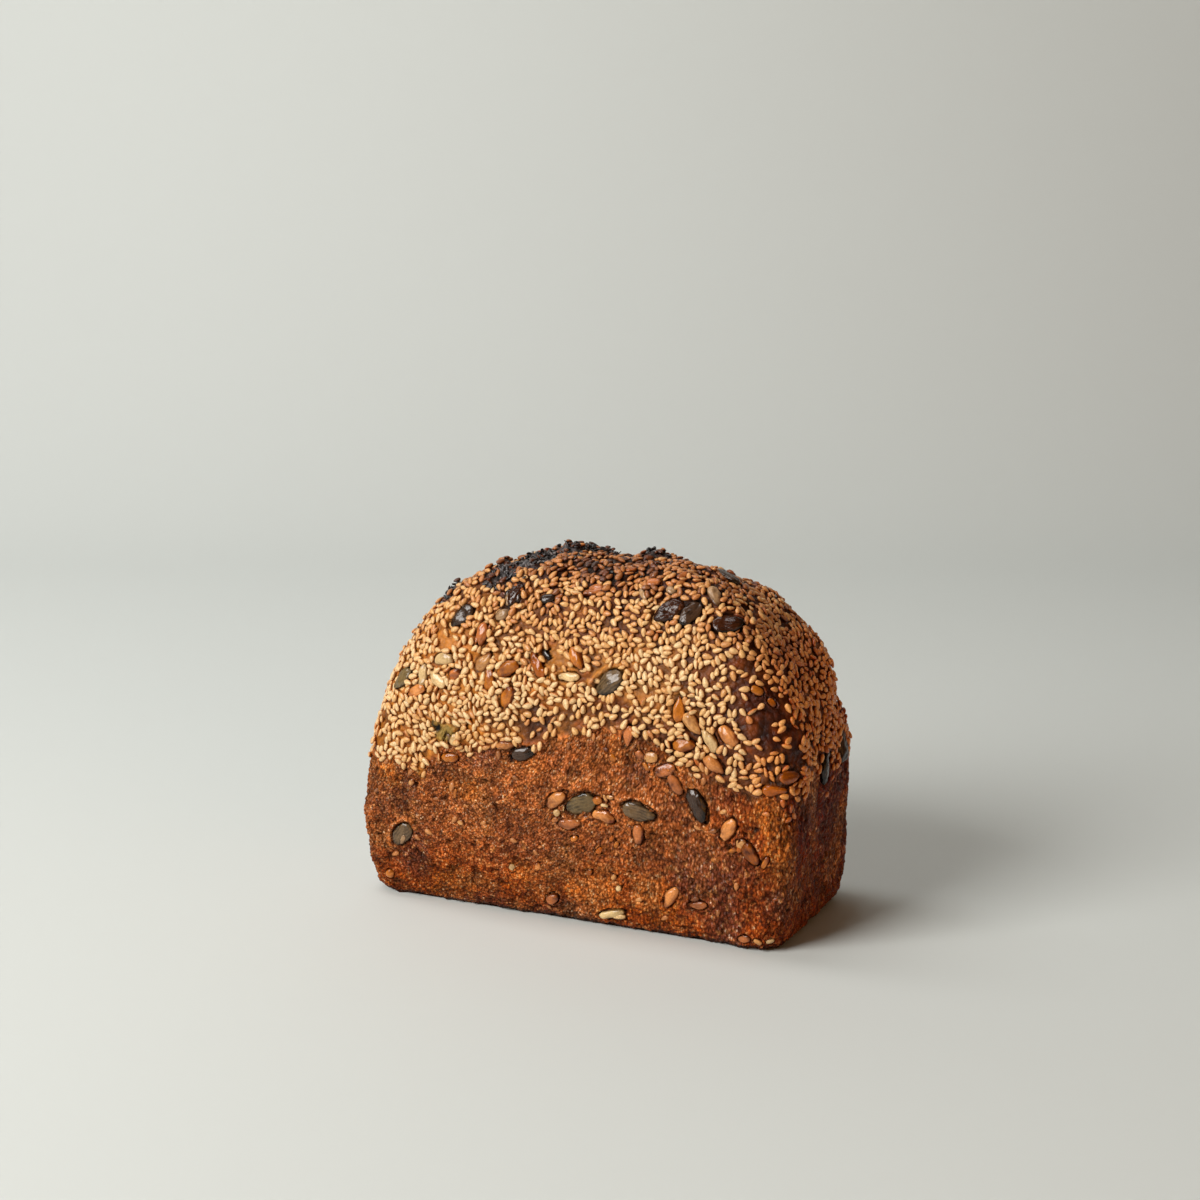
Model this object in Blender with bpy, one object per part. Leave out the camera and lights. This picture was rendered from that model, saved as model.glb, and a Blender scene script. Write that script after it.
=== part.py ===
"""Seeded sourdough tin loaf: sloping sides where the dough met its tin, a domed top that rose out of it,
charred crags along the crown, and seeds pressed into the crust.

Metres, +Z up. The loaf stands on Z = 0 with its long side along X and its shown front facing -Y.
"""

import math

import bmesh
import bpy
import numpy as np
from mathutils import Matrix, Vector, noise
from mathutils.bvhtree import BVHTree

# The tin that the lower crust took its form from
FLOOR_LENGTH = 0.171
FLOOR_WIDTH = 0.073
WALL_SLOPE = 7.0 / 64.0  # outward lean of every wall, per unit of height
CORNER_RADIUS = 0.0045
FOOT_CORNER_RADIUS = 0.011  # the dough never filled the tin's lowest corners
CORNER_FULL = 0.020  # height where the upright corners have come in to their radius
FLOOR_ROUNDING = 0.006
TIN_CENTRE_X = -0.0017  # puts the whole loaf's middle at the origin
TIN_CENTRE_Y = 0.0028

# The dome: a superellipse in plan that closes towards the crown
LOAF_HEIGHT = 0.1343
DOME_HALF_LENGTH = 0.1021
DOME_HALF_WIDTH = 0.0469
DOME_SHIFT_X = 0.0040  # where the dome's middle lies, from the tin's
DOME_SHIFT_Y = -0.0050
DOME_TILT = 0.2  # share of the height that the crown gains per metre along X
PLAN_POWER_X = 5.44
PLAN_POWER_Y = 5.03
PLAN_POWER = 0.69
RISE_POWER = 1.4
MEASURE_POWER = 1 / 2.2  # makes the dome's measure close to a distance near its surface
WALL_BLEND = 0.008  # rounding where the walls give way to the dome

# Relief of the crust
SWELL_SPAN = 0.034
WALL_SWELL = 0.0004
DOME_SWELL = 0.0011
SWELL_START = 0.060  # height above which the swells grow to their size on the dome
SWELL_FULL = 0.090
CRAG_SPAN = 0.013
CRAG_HEIGHT = 0.0026
CRAG_LEVEL = 0.6  # share of a crag's height that stands above the smooth form
CRAG_START = 0.112  # the charred crags begin at this height
CRAG_FULL = 0.130

# Larger lumps and hollows of the crust: middle, radius and rise
LUMPS = (
    ((-0.043, 0.000, 0.131), 0.012, -0.0024),  # the crown falls off on the left
    ((-0.014, 0.006, 0.135), 0.012, 0.0018),  # the charred bump
    ((0.005, 0.007, 0.136), 0.007, -0.0036),  # the dip behind it
    ((0.016, 0.008, 0.136), 0.005, 0.0012),
    ((0.034, 0.010, 0.134), 0.012, -0.0022),
    ((0.050, 0.013, 0.130), 0.010, -0.0036),
    ((0.079, 0.018, 0.099), 0.013, 0.0022),  # the right shoulder
    ((0.086, 0.020, 0.085), 0.009, -0.0024),
    ((-0.087, -0.022, 0.054), 0.016, -0.0016),
)

# The lattice that the crust's faces follow
COLUMNS_X = 28
COLUMNS_Y = 12
WALL_ROWS = 6
DOME_ROWS = 11
WALL_SHARE = 0.42  # share of the height that the wall rows cover
WALL_ROW_POWER = 1.7  # brings the lowest rows together, where the floor's edge is rounded
COLUMN_CROWDING = 0.4  # share by which the columns crowd towards the corners
FLOOR_HEIGHT = 0.0003  # where the lowest ring is cast from, before it is set level
STEEP = 0.8  # share of an outward direction along Z above which a lie is reckoned from X
HALVINGS = 40  # how often the search for the surface halves its reach
SLOPE_STEP = 0.0001

# Seeds: length, width and thickness
PUMPKIN_SEED = (0.0130, 0.0078, 0.0034)
SUNFLOWER_SEED = (0.0095, 0.0048, 0.0032)
SESAME_SEED = (0.0036, 0.0021, 0.0013)
SEED_SIDES = 5
SEED_SIDE_TURN = 0.25  # share of a side by which the seeds' sides are turned
KERNEL_STATIONS = ((-0.62, 0.80), (0.02, 1.0), (0.66, 0.62))  # place along a kernel, and its breadth there
SESAME_STATIONS = ((-0.42, 0.98), (0.46, 0.80))
SUNK = 0.30  # share of the thickness that lies under the crust
SEED_GAP = 0.0007

# Seeds that a rule spreads: size, count and spacing
SPREAD_KERNELS = (  # on the crust that the photo doesn't show
    (PUMPKIN_SEED, 14, 0.020),
    (SUNFLOWER_SEED, 26, 0.014),
)
SPREAD_SESAME = (SESAME_SEED, 96, 0.0100)
SPREAD_SCALES = (0.84, 1.08)
BARER_WALL = 0.35  # share of the kernels that keep their place where they fall below the seed line
TRIES_PER_SEED = 400
RANDOM_SEED = 11
HIDDEN = -0.2  # how far the hidden crust faces away from the camera
BOX_SIDES = ((0, -1.0), (0, 1.0), (1, -1.0), (1, 1.0), (2, 1.0))  # axis and place of each wall and the top
BOX_SHARES = (0.13, 0.13, 0.27, 0.27, 0.20)  # their shares of the area

# The photo's viewpoint, and where its larger seeds show: pixels across and down, turn in degrees, scale
PHOTO_MIDDLE = 600
PHOTO_FOCAL = 2101
CAMERA_PLACE = (0.3282, -0.7128, 0.2775)
CAMERA_TURN = math.radians(24.92)
CAMERA_DIP = math.radians(11.49)
SHOWN_PUMPKINS = (
    (404, 679, 50, 0.86), (463, 617, 40, 0.88), (610, 683, 38, 1.0), (669, 611, 30, 0.95),
    (691, 614, 50, 0.88), (728, 625, 5, 0.92), (581, 804, 20, 0.98), (640, 811, -20, 1.0),
    (698, 806, -65, 1.0), (402, 834, 50, 0.82), (725, 580, -35, 0.95), (840, 748, 85, 0.9),
    (824, 768, 86, 0.9), (615, 912, 4, 0.9), (524, 753, 10, 0.7), (517, 596, 60, 0.7),
)
SHOWN_SUNFLOWERS = (
    (485, 662, 50, 1.0), (509, 669, 30, 1.05), (538, 665, -65, 1.15), (578, 659, -60, 1.0),
    (570, 677, 0, 0.85), (425, 677, 85, 1.0), (439, 679, -45, 1.0), (418, 691, 20, 0.95),
    (446, 659, 0, 0.9), (491, 679, 88, 0.85), (509, 697, 65, 0.95), (680, 709, 88, 1.0),
    (693, 724, -50, 0.95), (685, 745, 0, 1.0), (710, 740, -60, 1.0), (729, 736, -50, 1.0),
    (629, 736, 80, 0.9), (715, 765, -40, 1.0), (789, 777, 10, 1.1), (666, 770, 15, 0.95),
    (676, 784, -60, 0.9), (557, 799, 35, 1.1), (605, 816, -20, 1.0), (571, 823, 0, 1.0),
    (729, 829, 60, 0.95), (751, 853, -60, 1.0), (671, 897, 60, 0.95), (507, 745, 0, 0.8),
    (451, 757, 0, 0.8), (714, 600, -75, 1.0), (483, 635, 80, 1.0), (595, 593, 15, 0.9),
    (775, 790, 0, 0.9), (639, 834, 85, 0.9), (698, 905, 0, 0.8), (504, 615, 30, 0.75),
)

# The seeded skin's lower edge, which arches up in the middle of each long side, and its upper edge
SEED_LINE_LEFT = 0.053
SEED_LINE_RIGHT = 0.063
SEED_LINE_MIDDLE = 0.079
SEED_LINE_CREST = 0.017  # where along X the arch is highest
SEED_LINE_ENDS = (-0.088, 0.085)
WALL_SEEDS_START = 0.012
SEED_TOP = 0.127

CRUST_COLOUR = (0.29, 0.115, 0.035)
CRUST_ROUGHNESS = 0.6
SHARP_ANGLE = math.radians(35)


def clear_scene():
    for old in list(bpy.data.objects):
        bpy.data.objects.remove(old, do_unlink=True)


def eased(value, start, full):
    """A share that grows smoothly from 0 at start to 1 at full."""
    share = np.clip((value - start) / (full - start), 0.0, 1.0)
    return share * share * (3 - 2 * share)


def smooth_larger(a, b, reach):
    """The larger of two measures, rounded over where they meet."""
    share = np.clip(0.5 + 0.5 * (a - b) / reach, 0.0, 1.0)
    return b + (a - b) * share + reach * share * (1.0 - share)


def wall_measure(x, y, z):
    """Distance outside the tin's sloping walls in plan, with rounded upright corners."""
    half_length = FLOOR_LENGTH / 2 + WALL_SLOPE * z
    half_width = FLOOR_WIDTH / 2 + WALL_SLOPE * z
    radius = FOOT_CORNER_RADIUS + (CORNER_RADIUS - FOOT_CORNER_RADIUS) * eased(z, 0.0, CORNER_FULL)
    across = np.abs(x) - (half_length - radius)
    along = np.abs(y) - (half_width - radius)
    outside = np.hypot(np.maximum(across, 0.0), np.maximum(along, 0.0))
    return outside + np.minimum(np.maximum(across, along), 0.0) - radius


def dome_measure(x, y, z):
    """Near the dome, the distance outside it."""
    from_x = x - DOME_SHIFT_X
    from_y = y - DOME_SHIFT_Y
    share_x = np.abs(from_x / DOME_HALF_LENGTH) ** PLAN_POWER_X
    share_y = np.abs(from_y / DOME_HALF_WIDTH) ** PLAN_POWER_Y
    rise = np.maximum(z, 0.0) / (LOAF_HEIGHT * (1.0 + DOME_TILT * from_x))
    whole = (share_x + share_y) ** PLAN_POWER + rise**RISE_POWER
    return (whole**MEASURE_POWER - 1.0) * DOME_HALF_WIDTH


def form(points):
    """Measure of the smooth loaf at each point: below zero inside, zero on its surface."""
    x = points[..., 0] - TIN_CENTRE_X
    y = points[..., 1] - TIN_CENTRE_Y
    z = points[..., 2]
    sides = smooth_larger(wall_measure(x, y, z), dome_measure(x, y, z), WALL_BLEND)
    return smooth_larger(sides, -z, FLOOR_ROUNDING)


def form_normals(points):
    """Outward directions of the smooth loaf, from differences of its measure."""
    slopes = [form(points + offset) - form(points - offset) for offset in np.eye(3) * SLOPE_STEP]
    normals = np.stack(slopes, axis=-1)
    return normals / np.linalg.norm(normals, axis=-1, keepdims=True)


def leaving_points(starts, directions):
    """Where rays from inside the loaf leave the smooth form, found by halving."""
    near = np.zeros(len(starts))
    far = np.full(len(starts), FLOOR_LENGTH)
    for _ in range(HALVINGS):
        middle = (near + far) / 2
        inside = form(starts + directions * middle[:, None]) < 0
        near = np.where(inside, middle, near)
        far = np.where(inside, far, middle)
    return starts + directions * near[:, None]


def lumps(place):
    """How far the larger lumps and hollows lift the crust at a place."""
    total = 0.0
    for middle, radius, rise in LUMPS:
        total += rise * math.exp(-(((place - Vector(middle)).length / radius) ** 2))
    return total


def relief(point):
    """How far the crust stands out of the smooth form: lumps, soft swells, and crags along the crown."""
    place = Vector(point)
    domed = eased(place.z, SWELL_START, SWELL_FULL)
    swell = WALL_SWELL + (DOME_SWELL - WALL_SWELL) * domed
    charred = eased(place.z, CRAG_START, CRAG_FULL)
    ridge = CRAG_LEVEL - 2.0 * abs(noise.noise(place / CRAG_SPAN))
    return lumps(place) + swell * noise.noise(place / SWELL_SPAN) + CRAG_HEIGHT * charred * ridge


def crowded(share):
    """A place from -1 to 1 moved towards the nearer end."""
    return (1 - COLUMN_CROWDING) * share + COLUMN_CROWDING * math.sin(share * math.pi / 2)


def lattice_places():
    """Points on a box's walls and top, keyed by column along X, column along Y and row."""
    wall = [WALL_SHARE * (row / WALL_ROWS) ** WALL_ROW_POWER for row in range(WALL_ROWS)]
    dome = [WALL_SHARE + (1 - WALL_SHARE) * row / DOME_ROWS for row in range(DOME_ROWS + 1)]
    heights = wall + dome
    top = len(heights) - 1
    places = {}
    for i in range(COLUMNS_X + 1):
        for j in range(COLUMNS_Y + 1):
            for k, height in enumerate(heights):
                on_wall = i in (0, COLUMNS_X) or j in (0, COLUMNS_Y)
                if on_wall or k == top:
                    place = (crowded(2 * i / COLUMNS_X - 1), crowded(2 * j / COLUMNS_Y - 1), height)
                    places[i, j, k] = place
    return places, top


def cast(places):
    """Points of the smooth loaf on rays from its inner spine through places on a box round it.

    A place is given in shares of the box's half length, its half width and its height.
    """
    half_length = FLOOR_LENGTH / 2 + WALL_SLOPE * LOAF_HEIGHT / 2
    half_width = FLOOR_WIDTH / 2 + WALL_SLOPE * LOAF_HEIGHT / 2
    spine_end = half_length - half_width
    box = places * (half_length, half_width, LOAF_HEIGHT)
    box[:, 2] = np.maximum(box[:, 2], FLOOR_HEIGHT)
    starts = np.zeros_like(box)
    starts[:, 0] = np.clip(box[:, 0], -spine_end, spine_end)
    starts[:, 2] = np.minimum(box[:, 2], LOAF_HEIGHT / 2)
    directions = box - starts
    directions /= np.linalg.norm(directions, axis=1, keepdims=True)
    return leaving_points(starts + (TIN_CENTRE_X, TIN_CENTRE_Y, 0.0), directions)


def carried_onto_loaf(places):
    """Each of the lattice's places carried onto the loaf's surface and relief, or level onto its floor."""
    shares = np.array(list(places.values()))
    points = cast(shares)
    heights = np.array([relief(point) for point in points])
    moved = points + form_normals(points) * heights[:, None]
    on_floor = shares[:, 2] == 0
    moved[on_floor] = points[on_floor]
    moved[on_floor, 2] = 0.0
    return dict(zip(places, moved))


def lattice_faces(top):
    """The four-sided faces of the walls and the top, as the keys of their corners."""
    nx, ny = COLUMNS_X, COLUMNS_Y
    for k in range(top):
        for i in range(nx):
            yield (i, 0, k), (i + 1, 0, k), (i + 1, 0, k + 1), (i, 0, k + 1)
            yield (i + 1, ny, k), (i, ny, k), (i, ny, k + 1), (i + 1, ny, k + 1)
        for j in range(ny):
            yield (nx, j, k), (nx, j + 1, k), (nx, j + 1, k + 1), (nx, j, k + 1)
            yield (0, j + 1, k), (0, j, k), (0, j, k + 1), (0, j + 1, k + 1)
    for i in range(nx):
        for j in range(ny):
            yield (i, j, top), (i + 1, j, top), (i + 1, j + 1, top), (i, j + 1, top)


def floor_rim():
    """The keys round the floor, anticlockwise seen from above."""
    nx, ny = COLUMNS_X, COLUMNS_Y
    near = [(i, 0, 0) for i in range(nx)] + [(nx, j, 0) for j in range(ny)]
    return near + [(i, ny, 0) for i in range(nx, 0, -1)] + [(0, j, 0) for j in range(ny, 0, -1)]


def crust_mesh():
    """The closed crust: the lattice carried onto the loaf, and a flat fan of faces as its floor."""
    places, top = lattice_places()
    crust = bmesh.new()
    corners = {key: crust.verts.new(point) for key, point in carried_onto_loaf(places).items()}
    for face in lattice_faces(top):
        crust.faces.new([corners[key] for key in face])
    middle = crust.verts.new((TIN_CENTRE_X, TIN_CENTRE_Y, 0))
    rim = floor_rim()
    for key, after in zip(rim, rim[1:] + rim[:1]):
        crust.faces.new((corners[after], corners[key], middle))
    bmesh.ops.triangulate(crust, faces=crust.faces)
    mesh = bpy.data.meshes.new("tin_loaf")
    crust.to_mesh(mesh)
    crust.free()
    return mesh


def kernel_mesh(size):
    """A flat kernel, broad behind and narrower in front, lying along X with its middle at the origin."""
    length, width, thickness = size
    body = bmesh.new()
    tail = body.verts.new((-length / 2, 0, 0))
    tip = body.verts.new((length / 2, 0, 0))
    stations = SESAME_STATIONS if size is SESAME_SEED else KERNEL_STATIONS
    rings = []
    for along, breadth in stations:
        ring = []
        for side in range(SEED_SIDES):
            angle = 2 * math.pi * (side + SEED_SIDE_TURN) / SEED_SIDES
            y = math.cos(angle) * width / 2 * breadth
            z = math.sin(angle) * thickness / 2 * breadth
            ring.append(body.verts.new((along * length / 2, y, z)))
        rings.append(ring)
    for side in range(SEED_SIDES):
        after = (side + 1) % SEED_SIDES
        body.faces.new((tail, rings[0][after], rings[0][side]))
        body.faces.new((tip, rings[-1][side], rings[-1][after]))
        for near, far in zip(rings, rings[1:]):
            body.faces.new((near[side], near[after], far[after], far[side]))
    bmesh.ops.recalc_face_normals(body, faces=body.faces)
    mesh = bpy.data.meshes.new("kernel")
    body.to_mesh(mesh)
    body.free()
    return mesh


def camera_axes():
    right = Vector((math.cos(CAMERA_TURN), math.sin(CAMERA_TURN), 0))
    level = Vector((-math.sin(CAMERA_TURN), math.cos(CAMERA_TURN), 0))
    forward = level * math.cos(CAMERA_DIP) - Vector((0, 0, math.sin(CAMERA_DIP)))
    return right, right.cross(forward), forward


def shown_seeds(tree):
    """Place, outward direction, lie, size and scale of each larger seed that the photo shows."""
    right, up, forward = camera_axes()
    for seeds, size in ((SHOWN_PUMPKINS, PUMPKIN_SEED), (SHOWN_SUNFLOWERS, SUNFLOWER_SEED)):
        for across, down, turn, scale in seeds:
            sight = right * (across - PHOTO_MIDDLE) + up * (PHOTO_MIDDLE - down) + forward * PHOTO_FOCAL
            point, normal, _, _ = tree.ray_cast(Vector(CAMERA_PLACE), sight.normalized())
            angle = math.radians(turn)
            lie = right * math.cos(angle) + up * math.sin(angle)
            lie -= sight * lie.dot(normal) / sight.dot(normal)
            yield point, normal, lie, size, scale


def surface_draws(draws, count):
    """Random points about even over the smooth walls and top, and the outward directions there."""
    places = draws.uniform((-1.0, -1.0, 0.0), (1.0, 1.0, 1.0), (count, 3))
    sides = draws.choice(len(BOX_SIDES), count, p=BOX_SHARES)
    for side, (axis, share) in enumerate(BOX_SIDES):
        places[sides == side, axis] = share
    points = cast(places)
    return points, form_normals(points)


def seed_line(x):
    """Height of the seeded skin's lower edge along X."""
    left, right = SEED_LINE_ENDS
    fall = np.where(x < SEED_LINE_CREST, SEED_LINE_LEFT, SEED_LINE_RIGHT) - SEED_LINE_MIDDLE
    share = np.where(x < SEED_LINE_CREST, eased(x, SEED_LINE_CREST, left), eased(x, SEED_LINE_CREST, right))
    return SEED_LINE_MIDDLE + fall * share


def spread_seeds(size, count, spacing, in_wall, placed, draws):
    """Seeds of one size spread by a rule over the seeded skin, and some over the wall below it.

    Gives point, outward direction, turn and scale of each. Where in_wall is above 0, they lie on the
    hidden crust alone. placed has the points and lengths of the seeds that they keep clear of.
    """
    points, normals = surface_draws(draws, count * TRIES_PER_SEED)
    turns = draws.uniform(0, math.pi, len(points))
    scales = draws.uniform(*SPREAD_SCALES, len(points))
    chances = draws.random(len(points))
    height = points[:, 2]
    on_skin = (height > seed_line(points[:, 0])) & (height < SEED_TOP)
    on_wall = (height > WALL_SEEDS_START) & (height < SEED_TOP) & (chances < in_wall)
    sights = np.array(CAMERA_PLACE) - points
    facing = (normals * sights).sum(axis=1) / np.linalg.norm(sights, axis=1)
    wanted = (on_skin | on_wall) & ((facing < HIDDEN) | (in_wall == 0))
    found = []
    for index in np.flatnonzero(wanted):
        point = points[index]
        spaced = all(np.linalg.norm(point - other[0]) > spacing for other in found)
        reach = size[0] / 2 + SEED_GAP
        clear = all(np.linalg.norm(point - other) > reach + length / 2 for other, length in placed)
        if spaced and clear and len(found) < count:
            found.append((point, normals[index], turns[index], scales[index]))
    return found


def lie_on(normal, turn):
    """A direction along the crust, turned from level by an angle."""
    side = Vector((0, 0, 1)).cross(normal) if abs(normal.z) < STEEP else Vector((1, 0, 0))
    return side * math.cos(turn) + side.cross(normal) * math.sin(turn)


def hidden_and_small_seeds(tree, shown):
    """The seeds that the rule spreads, each settled onto the crust's mesh."""
    draws = np.random.default_rng(RANDOM_SEED)
    kinds = []
    had = []
    for size, count, spacing in SPREAD_KERNELS:
        found = spread_seeds(size, count, spacing, BARER_WALL, had, draws)
        had += [(row[0], size[0]) for row in found]
        kinds.append((size, found))
    had += [(np.array(point), size[0]) for point, _, _, size, _ in shown]
    size, count, spacing = SPREAD_SESAME
    kinds.append((size, spread_seeds(size, count, spacing, 0, had, draws)))
    for size, found in kinds:
        for point, normal, turn, scale in found:
            outward = Vector(normal)
            settled, _, _, _ = tree.find_nearest(Vector(point) + outward * relief(point))
            yield settled, outward, lie_on(outward, turn), size, scale


def seat(point, normal, lie, size, scale):
    """The matrix that lays a kernel on the crust along its lie, partly sunk."""
    along = (lie - normal * lie.dot(normal)).normalized()
    basis = Matrix((along, normal.cross(along), normal)).transposed().to_4x4()
    lift = size[2] * (0.5 - SUNK)
    return Matrix.Translation(point + normal * lift) @ basis @ Matrix.Scale(scale, 4)


def laid_kernels(loaf):
    """A collection of kernels, each an object that lies partly sunk in the crust."""
    tree = BVHTree.FromObject(loaf, bpy.context.evaluated_depsgraph_get())
    seeds = list(shown_seeds(tree))
    seeds += hidden_and_small_seeds(tree, seeds)
    meshes = {size: kernel_mesh(size) for size in (PUMPKIN_SEED, SUNFLOWER_SEED, SESAME_SEED)}
    kernels = bpy.data.collections.new("kernels")
    bpy.context.scene.collection.children.link(kernels)
    for point, normal, lie, size, scale in seeds:
        kernel = bpy.data.objects.new("kernel", meshes[size])
        kernel.matrix_world = seat(point, normal, lie, size, scale)
        kernels.objects.link(kernel)
    return kernels


def fuse(loaf, kernels):
    """Joins every kernel to the crust in one union, then removes them."""
    union = loaf.modifiers.new("kernels", "BOOLEAN")
    union.operation = "UNION"
    union.solver = "MANIFOLD"
    union.operand_type = "COLLECTION"
    union.collection = kernels
    graph = bpy.context.evaluated_depsgraph_get()
    fused = bpy.data.meshes.new_from_object(loaf.evaluated_get(graph))
    loaf.modifiers.clear()
    loaf.data = fused
    for kernel in list(kernels.objects):
        bpy.data.objects.remove(kernel, do_unlink=True)
    bpy.data.collections.remove(kernels)


def crust_material():
    material = bpy.data.materials.new("baked_crust")
    material.use_nodes = True
    surface = material.node_tree.nodes["Principled BSDF"]
    surface.inputs["Base Color"].default_value = (*CRUST_COLOUR, 1)
    surface.inputs["Roughness"].default_value = CRUST_ROUGHNESS
    surface.inputs["Metallic"].default_value = 0.0
    return material


def main():
    clear_scene()
    loaf = bpy.data.objects.new("tin_loaf", crust_mesh())
    bpy.context.scene.collection.objects.link(loaf)
    bpy.context.view_layer.update()
    fuse(loaf, laid_kernels(loaf))
    loaf.data.materials.clear()
    loaf.data.materials.append(crust_material())
    loaf.data.shade_smooth()
    loaf.data.set_sharp_from_angle(angle=SHARP_ANGLE)


main()
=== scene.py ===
"""Looks of the seeded sourdough tin loaf: a grainy tin-baked crust, a seeded dome with a charred crown,
and every sesame seed, pumpkin kernel and sunflower kernel as real geometry.

Metres, +Z up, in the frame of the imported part. Colours are written as sRGB shares.
"""

import itertools
import math

import bpy
import numpy as np
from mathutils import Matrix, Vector, noise


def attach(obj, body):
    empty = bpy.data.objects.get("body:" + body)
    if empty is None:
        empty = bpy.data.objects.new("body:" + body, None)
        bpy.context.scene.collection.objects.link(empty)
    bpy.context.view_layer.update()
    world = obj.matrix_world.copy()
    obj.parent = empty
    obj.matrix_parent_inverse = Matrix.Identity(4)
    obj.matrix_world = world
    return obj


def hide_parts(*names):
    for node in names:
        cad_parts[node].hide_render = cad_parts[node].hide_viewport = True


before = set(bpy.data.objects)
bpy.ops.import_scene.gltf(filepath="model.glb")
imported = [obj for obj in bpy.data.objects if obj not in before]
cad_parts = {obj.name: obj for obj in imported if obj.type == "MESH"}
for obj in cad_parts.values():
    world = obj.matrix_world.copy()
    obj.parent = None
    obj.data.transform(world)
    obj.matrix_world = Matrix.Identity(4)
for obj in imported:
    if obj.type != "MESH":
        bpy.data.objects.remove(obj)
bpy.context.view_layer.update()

# The tin that the lower crust took its form from
FLOOR_LENGTH = 0.171
FLOOR_WIDTH = 0.073
WALL_SLOPE = 7.0 / 64.0
CORNER_RADIUS = 0.0045
FOOT_CORNER_RADIUS = 0.011
CORNER_FULL = 0.020
FLOOR_ROUNDING = 0.006
TIN_CENTRE_X = -0.0017
TIN_CENTRE_Y = 0.0028

# The dome
LOAF_HEIGHT = 0.1343
DOME_HALF_LENGTH = 0.1021
DOME_HALF_WIDTH = 0.0469
DOME_SHIFT_X = 0.0040
DOME_SHIFT_Y = -0.0050
DOME_TILT = 0.2
PLAN_POWER_X = 5.44
PLAN_POWER_Y = 5.03
PLAN_POWER = 0.69
RISE_POWER = 1.4
MEASURE_POWER = 1 / 2.2
WALL_BLEND = 0.008

# Relief that the solid has too
SWELL_SPAN = 0.034
WALL_SWELL = 0.0004
DOME_SWELL = 0.0011
SWELL_START = 0.060
SWELL_FULL = 0.090
CRAG_SPAN = 0.013
CRAG_HEIGHT = 0.0026
CRAG_LEVEL = 0.6
CRAG_START = 0.112
CRAG_FULL = 0.130
# Larger lumps and hollows of the crust: middle, radius and rise
LUMPS = (
    ((-0.043, 0.000, 0.131), 0.012, -0.0024),  # the crown falls off on the left
    ((-0.014, 0.006, 0.135), 0.012, 0.0018),  # the charred bump
    ((0.005, 0.007, 0.136), 0.007, -0.0036),  # the dip behind it
    ((0.016, 0.008, 0.136), 0.005, 0.0012),
    ((0.034, 0.010, 0.134), 0.012, -0.0022),
    ((0.050, 0.013, 0.130), 0.010, -0.0036),
    ((0.079, 0.018, 0.099), 0.013, 0.0022),  # the right shoulder
    ((0.086, 0.020, 0.085), 0.009, -0.0024),
    ((-0.087, -0.022, 0.054), 0.016, -0.0016),
)

# The crust's lattice: columns along X and Y, rows below and above the seed line, rings of the floor
COLUMNS_X = 268
COLUMNS_Y = 116
WALL_ROWS = 112
DOME_ROWS = 62
FLOOR_RINGS = 12
ROW_POWER = 1.25
FLOOR_HEIGHT = 0.0003
LATTICE_JITTER = 0.28  # share of a face's side by which its corners stray
GRAIN_SPAN = 0.00115  # from one grain of the wall's crust to the next
GRAIN_SEED = 33

# Fine relief of the crust. Waves are each given as height, span and the seed of their noise.
WALL_LUMPS = ((0.00036, 0.0058, 31), (0.00034, 0.0026, 32))
SKIN_WAVES = ((0.0004, 0.006, 35), (0.00018, 0.0017, 36))
GRAIN_RISE = 0.00052
GRAIN_FUZZ = 0.00012
PIT_DEPTH = 0.0012
CRACK_DEPTH = 0.0008
CREEP_RISE = 0.0009  # of the dough that crept up round each kernel
CREEP_RING = (1.35, 0.40)  # its reach and breadth in shares of a kernel's half size
SEAM_DEPTH = 0.0008
SEAM_RING = (1.0, 0.22)
SEAM_SHADOW_RING = (1.06, 0.26)
SEAM_SHADOW = 0.22
OLIVE_RISE = 0.0010
END_REACH = (0.080, 0.086)  # from where to where along X the crust turns into an end

# Where the crust's colours change, and how unevenly they do
SPECK_SHARE = 0.03
WALL_MOTTLES = ((0.20, 0.0044, 45), (0.20, 0.0021, 46))
TOASTING_PATCHES = ((0.07, 0.017, 61), (0.07, 0.006, 62))
EDGE_WAVES = ((0.0022, 0.004, 53), (0.0012, 0.0015, 55))
DARKEST_TINT = 0.002

# The photo's viewpoint
PHOTO_SIZE = 1200
PHOTO_MIDDLE = PHOTO_SIZE / 2
PHOTO_FOCAL = 2101
SENSOR_WIDTH = 36.0
CAMERA_PLACE = (0.3282, -0.7128, 0.2775)
CAMERA_TURN = math.radians(24.92)
CAMERA_DIP = math.radians(11.49)

# The seed line, below which the crust touched the tin: it arches up in the middle of each long side
SEED_LINE_LEFT = 0.053
SEED_LINE_RIGHT = 0.063
SEED_LINE_MIDDLE = 0.079
SEED_LINE_CREST = 0.017  # where along X it is highest
SEED_LINE_ENDS = (-0.088, 0.085)
SEED_LINE_WOBBLE = 0.003

# Kinds of seed: length, width, thickness
SESAME = (0.0035, 0.00224, 0.00130)
PUMPKIN = (0.0130, 0.0078, 0.0034)
SUNFLOWER = (0.0095, 0.0048, 0.0032)
SESAME_TRIES = 150000
SESAME_SHRINK = 0.69  # how much closer than touching the seeds may lie
SESAME_START = 0.045  # the height below which none is scattered
TURNS_TRIED = np.array((0, 0.9, -0.9, 1.6))
SUNK_TRIES = 6000
SUNK_SHARE = 0.44  # of its height by which a seed baked into the wall is sunk
SUNK_BROWNING = (0.56, 0.10)
FLAKE = (0.0026, 0.0017, 0.0006)
FLAKE_TRIES = 30000
FLAKE_SHARE = 0.6

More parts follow.
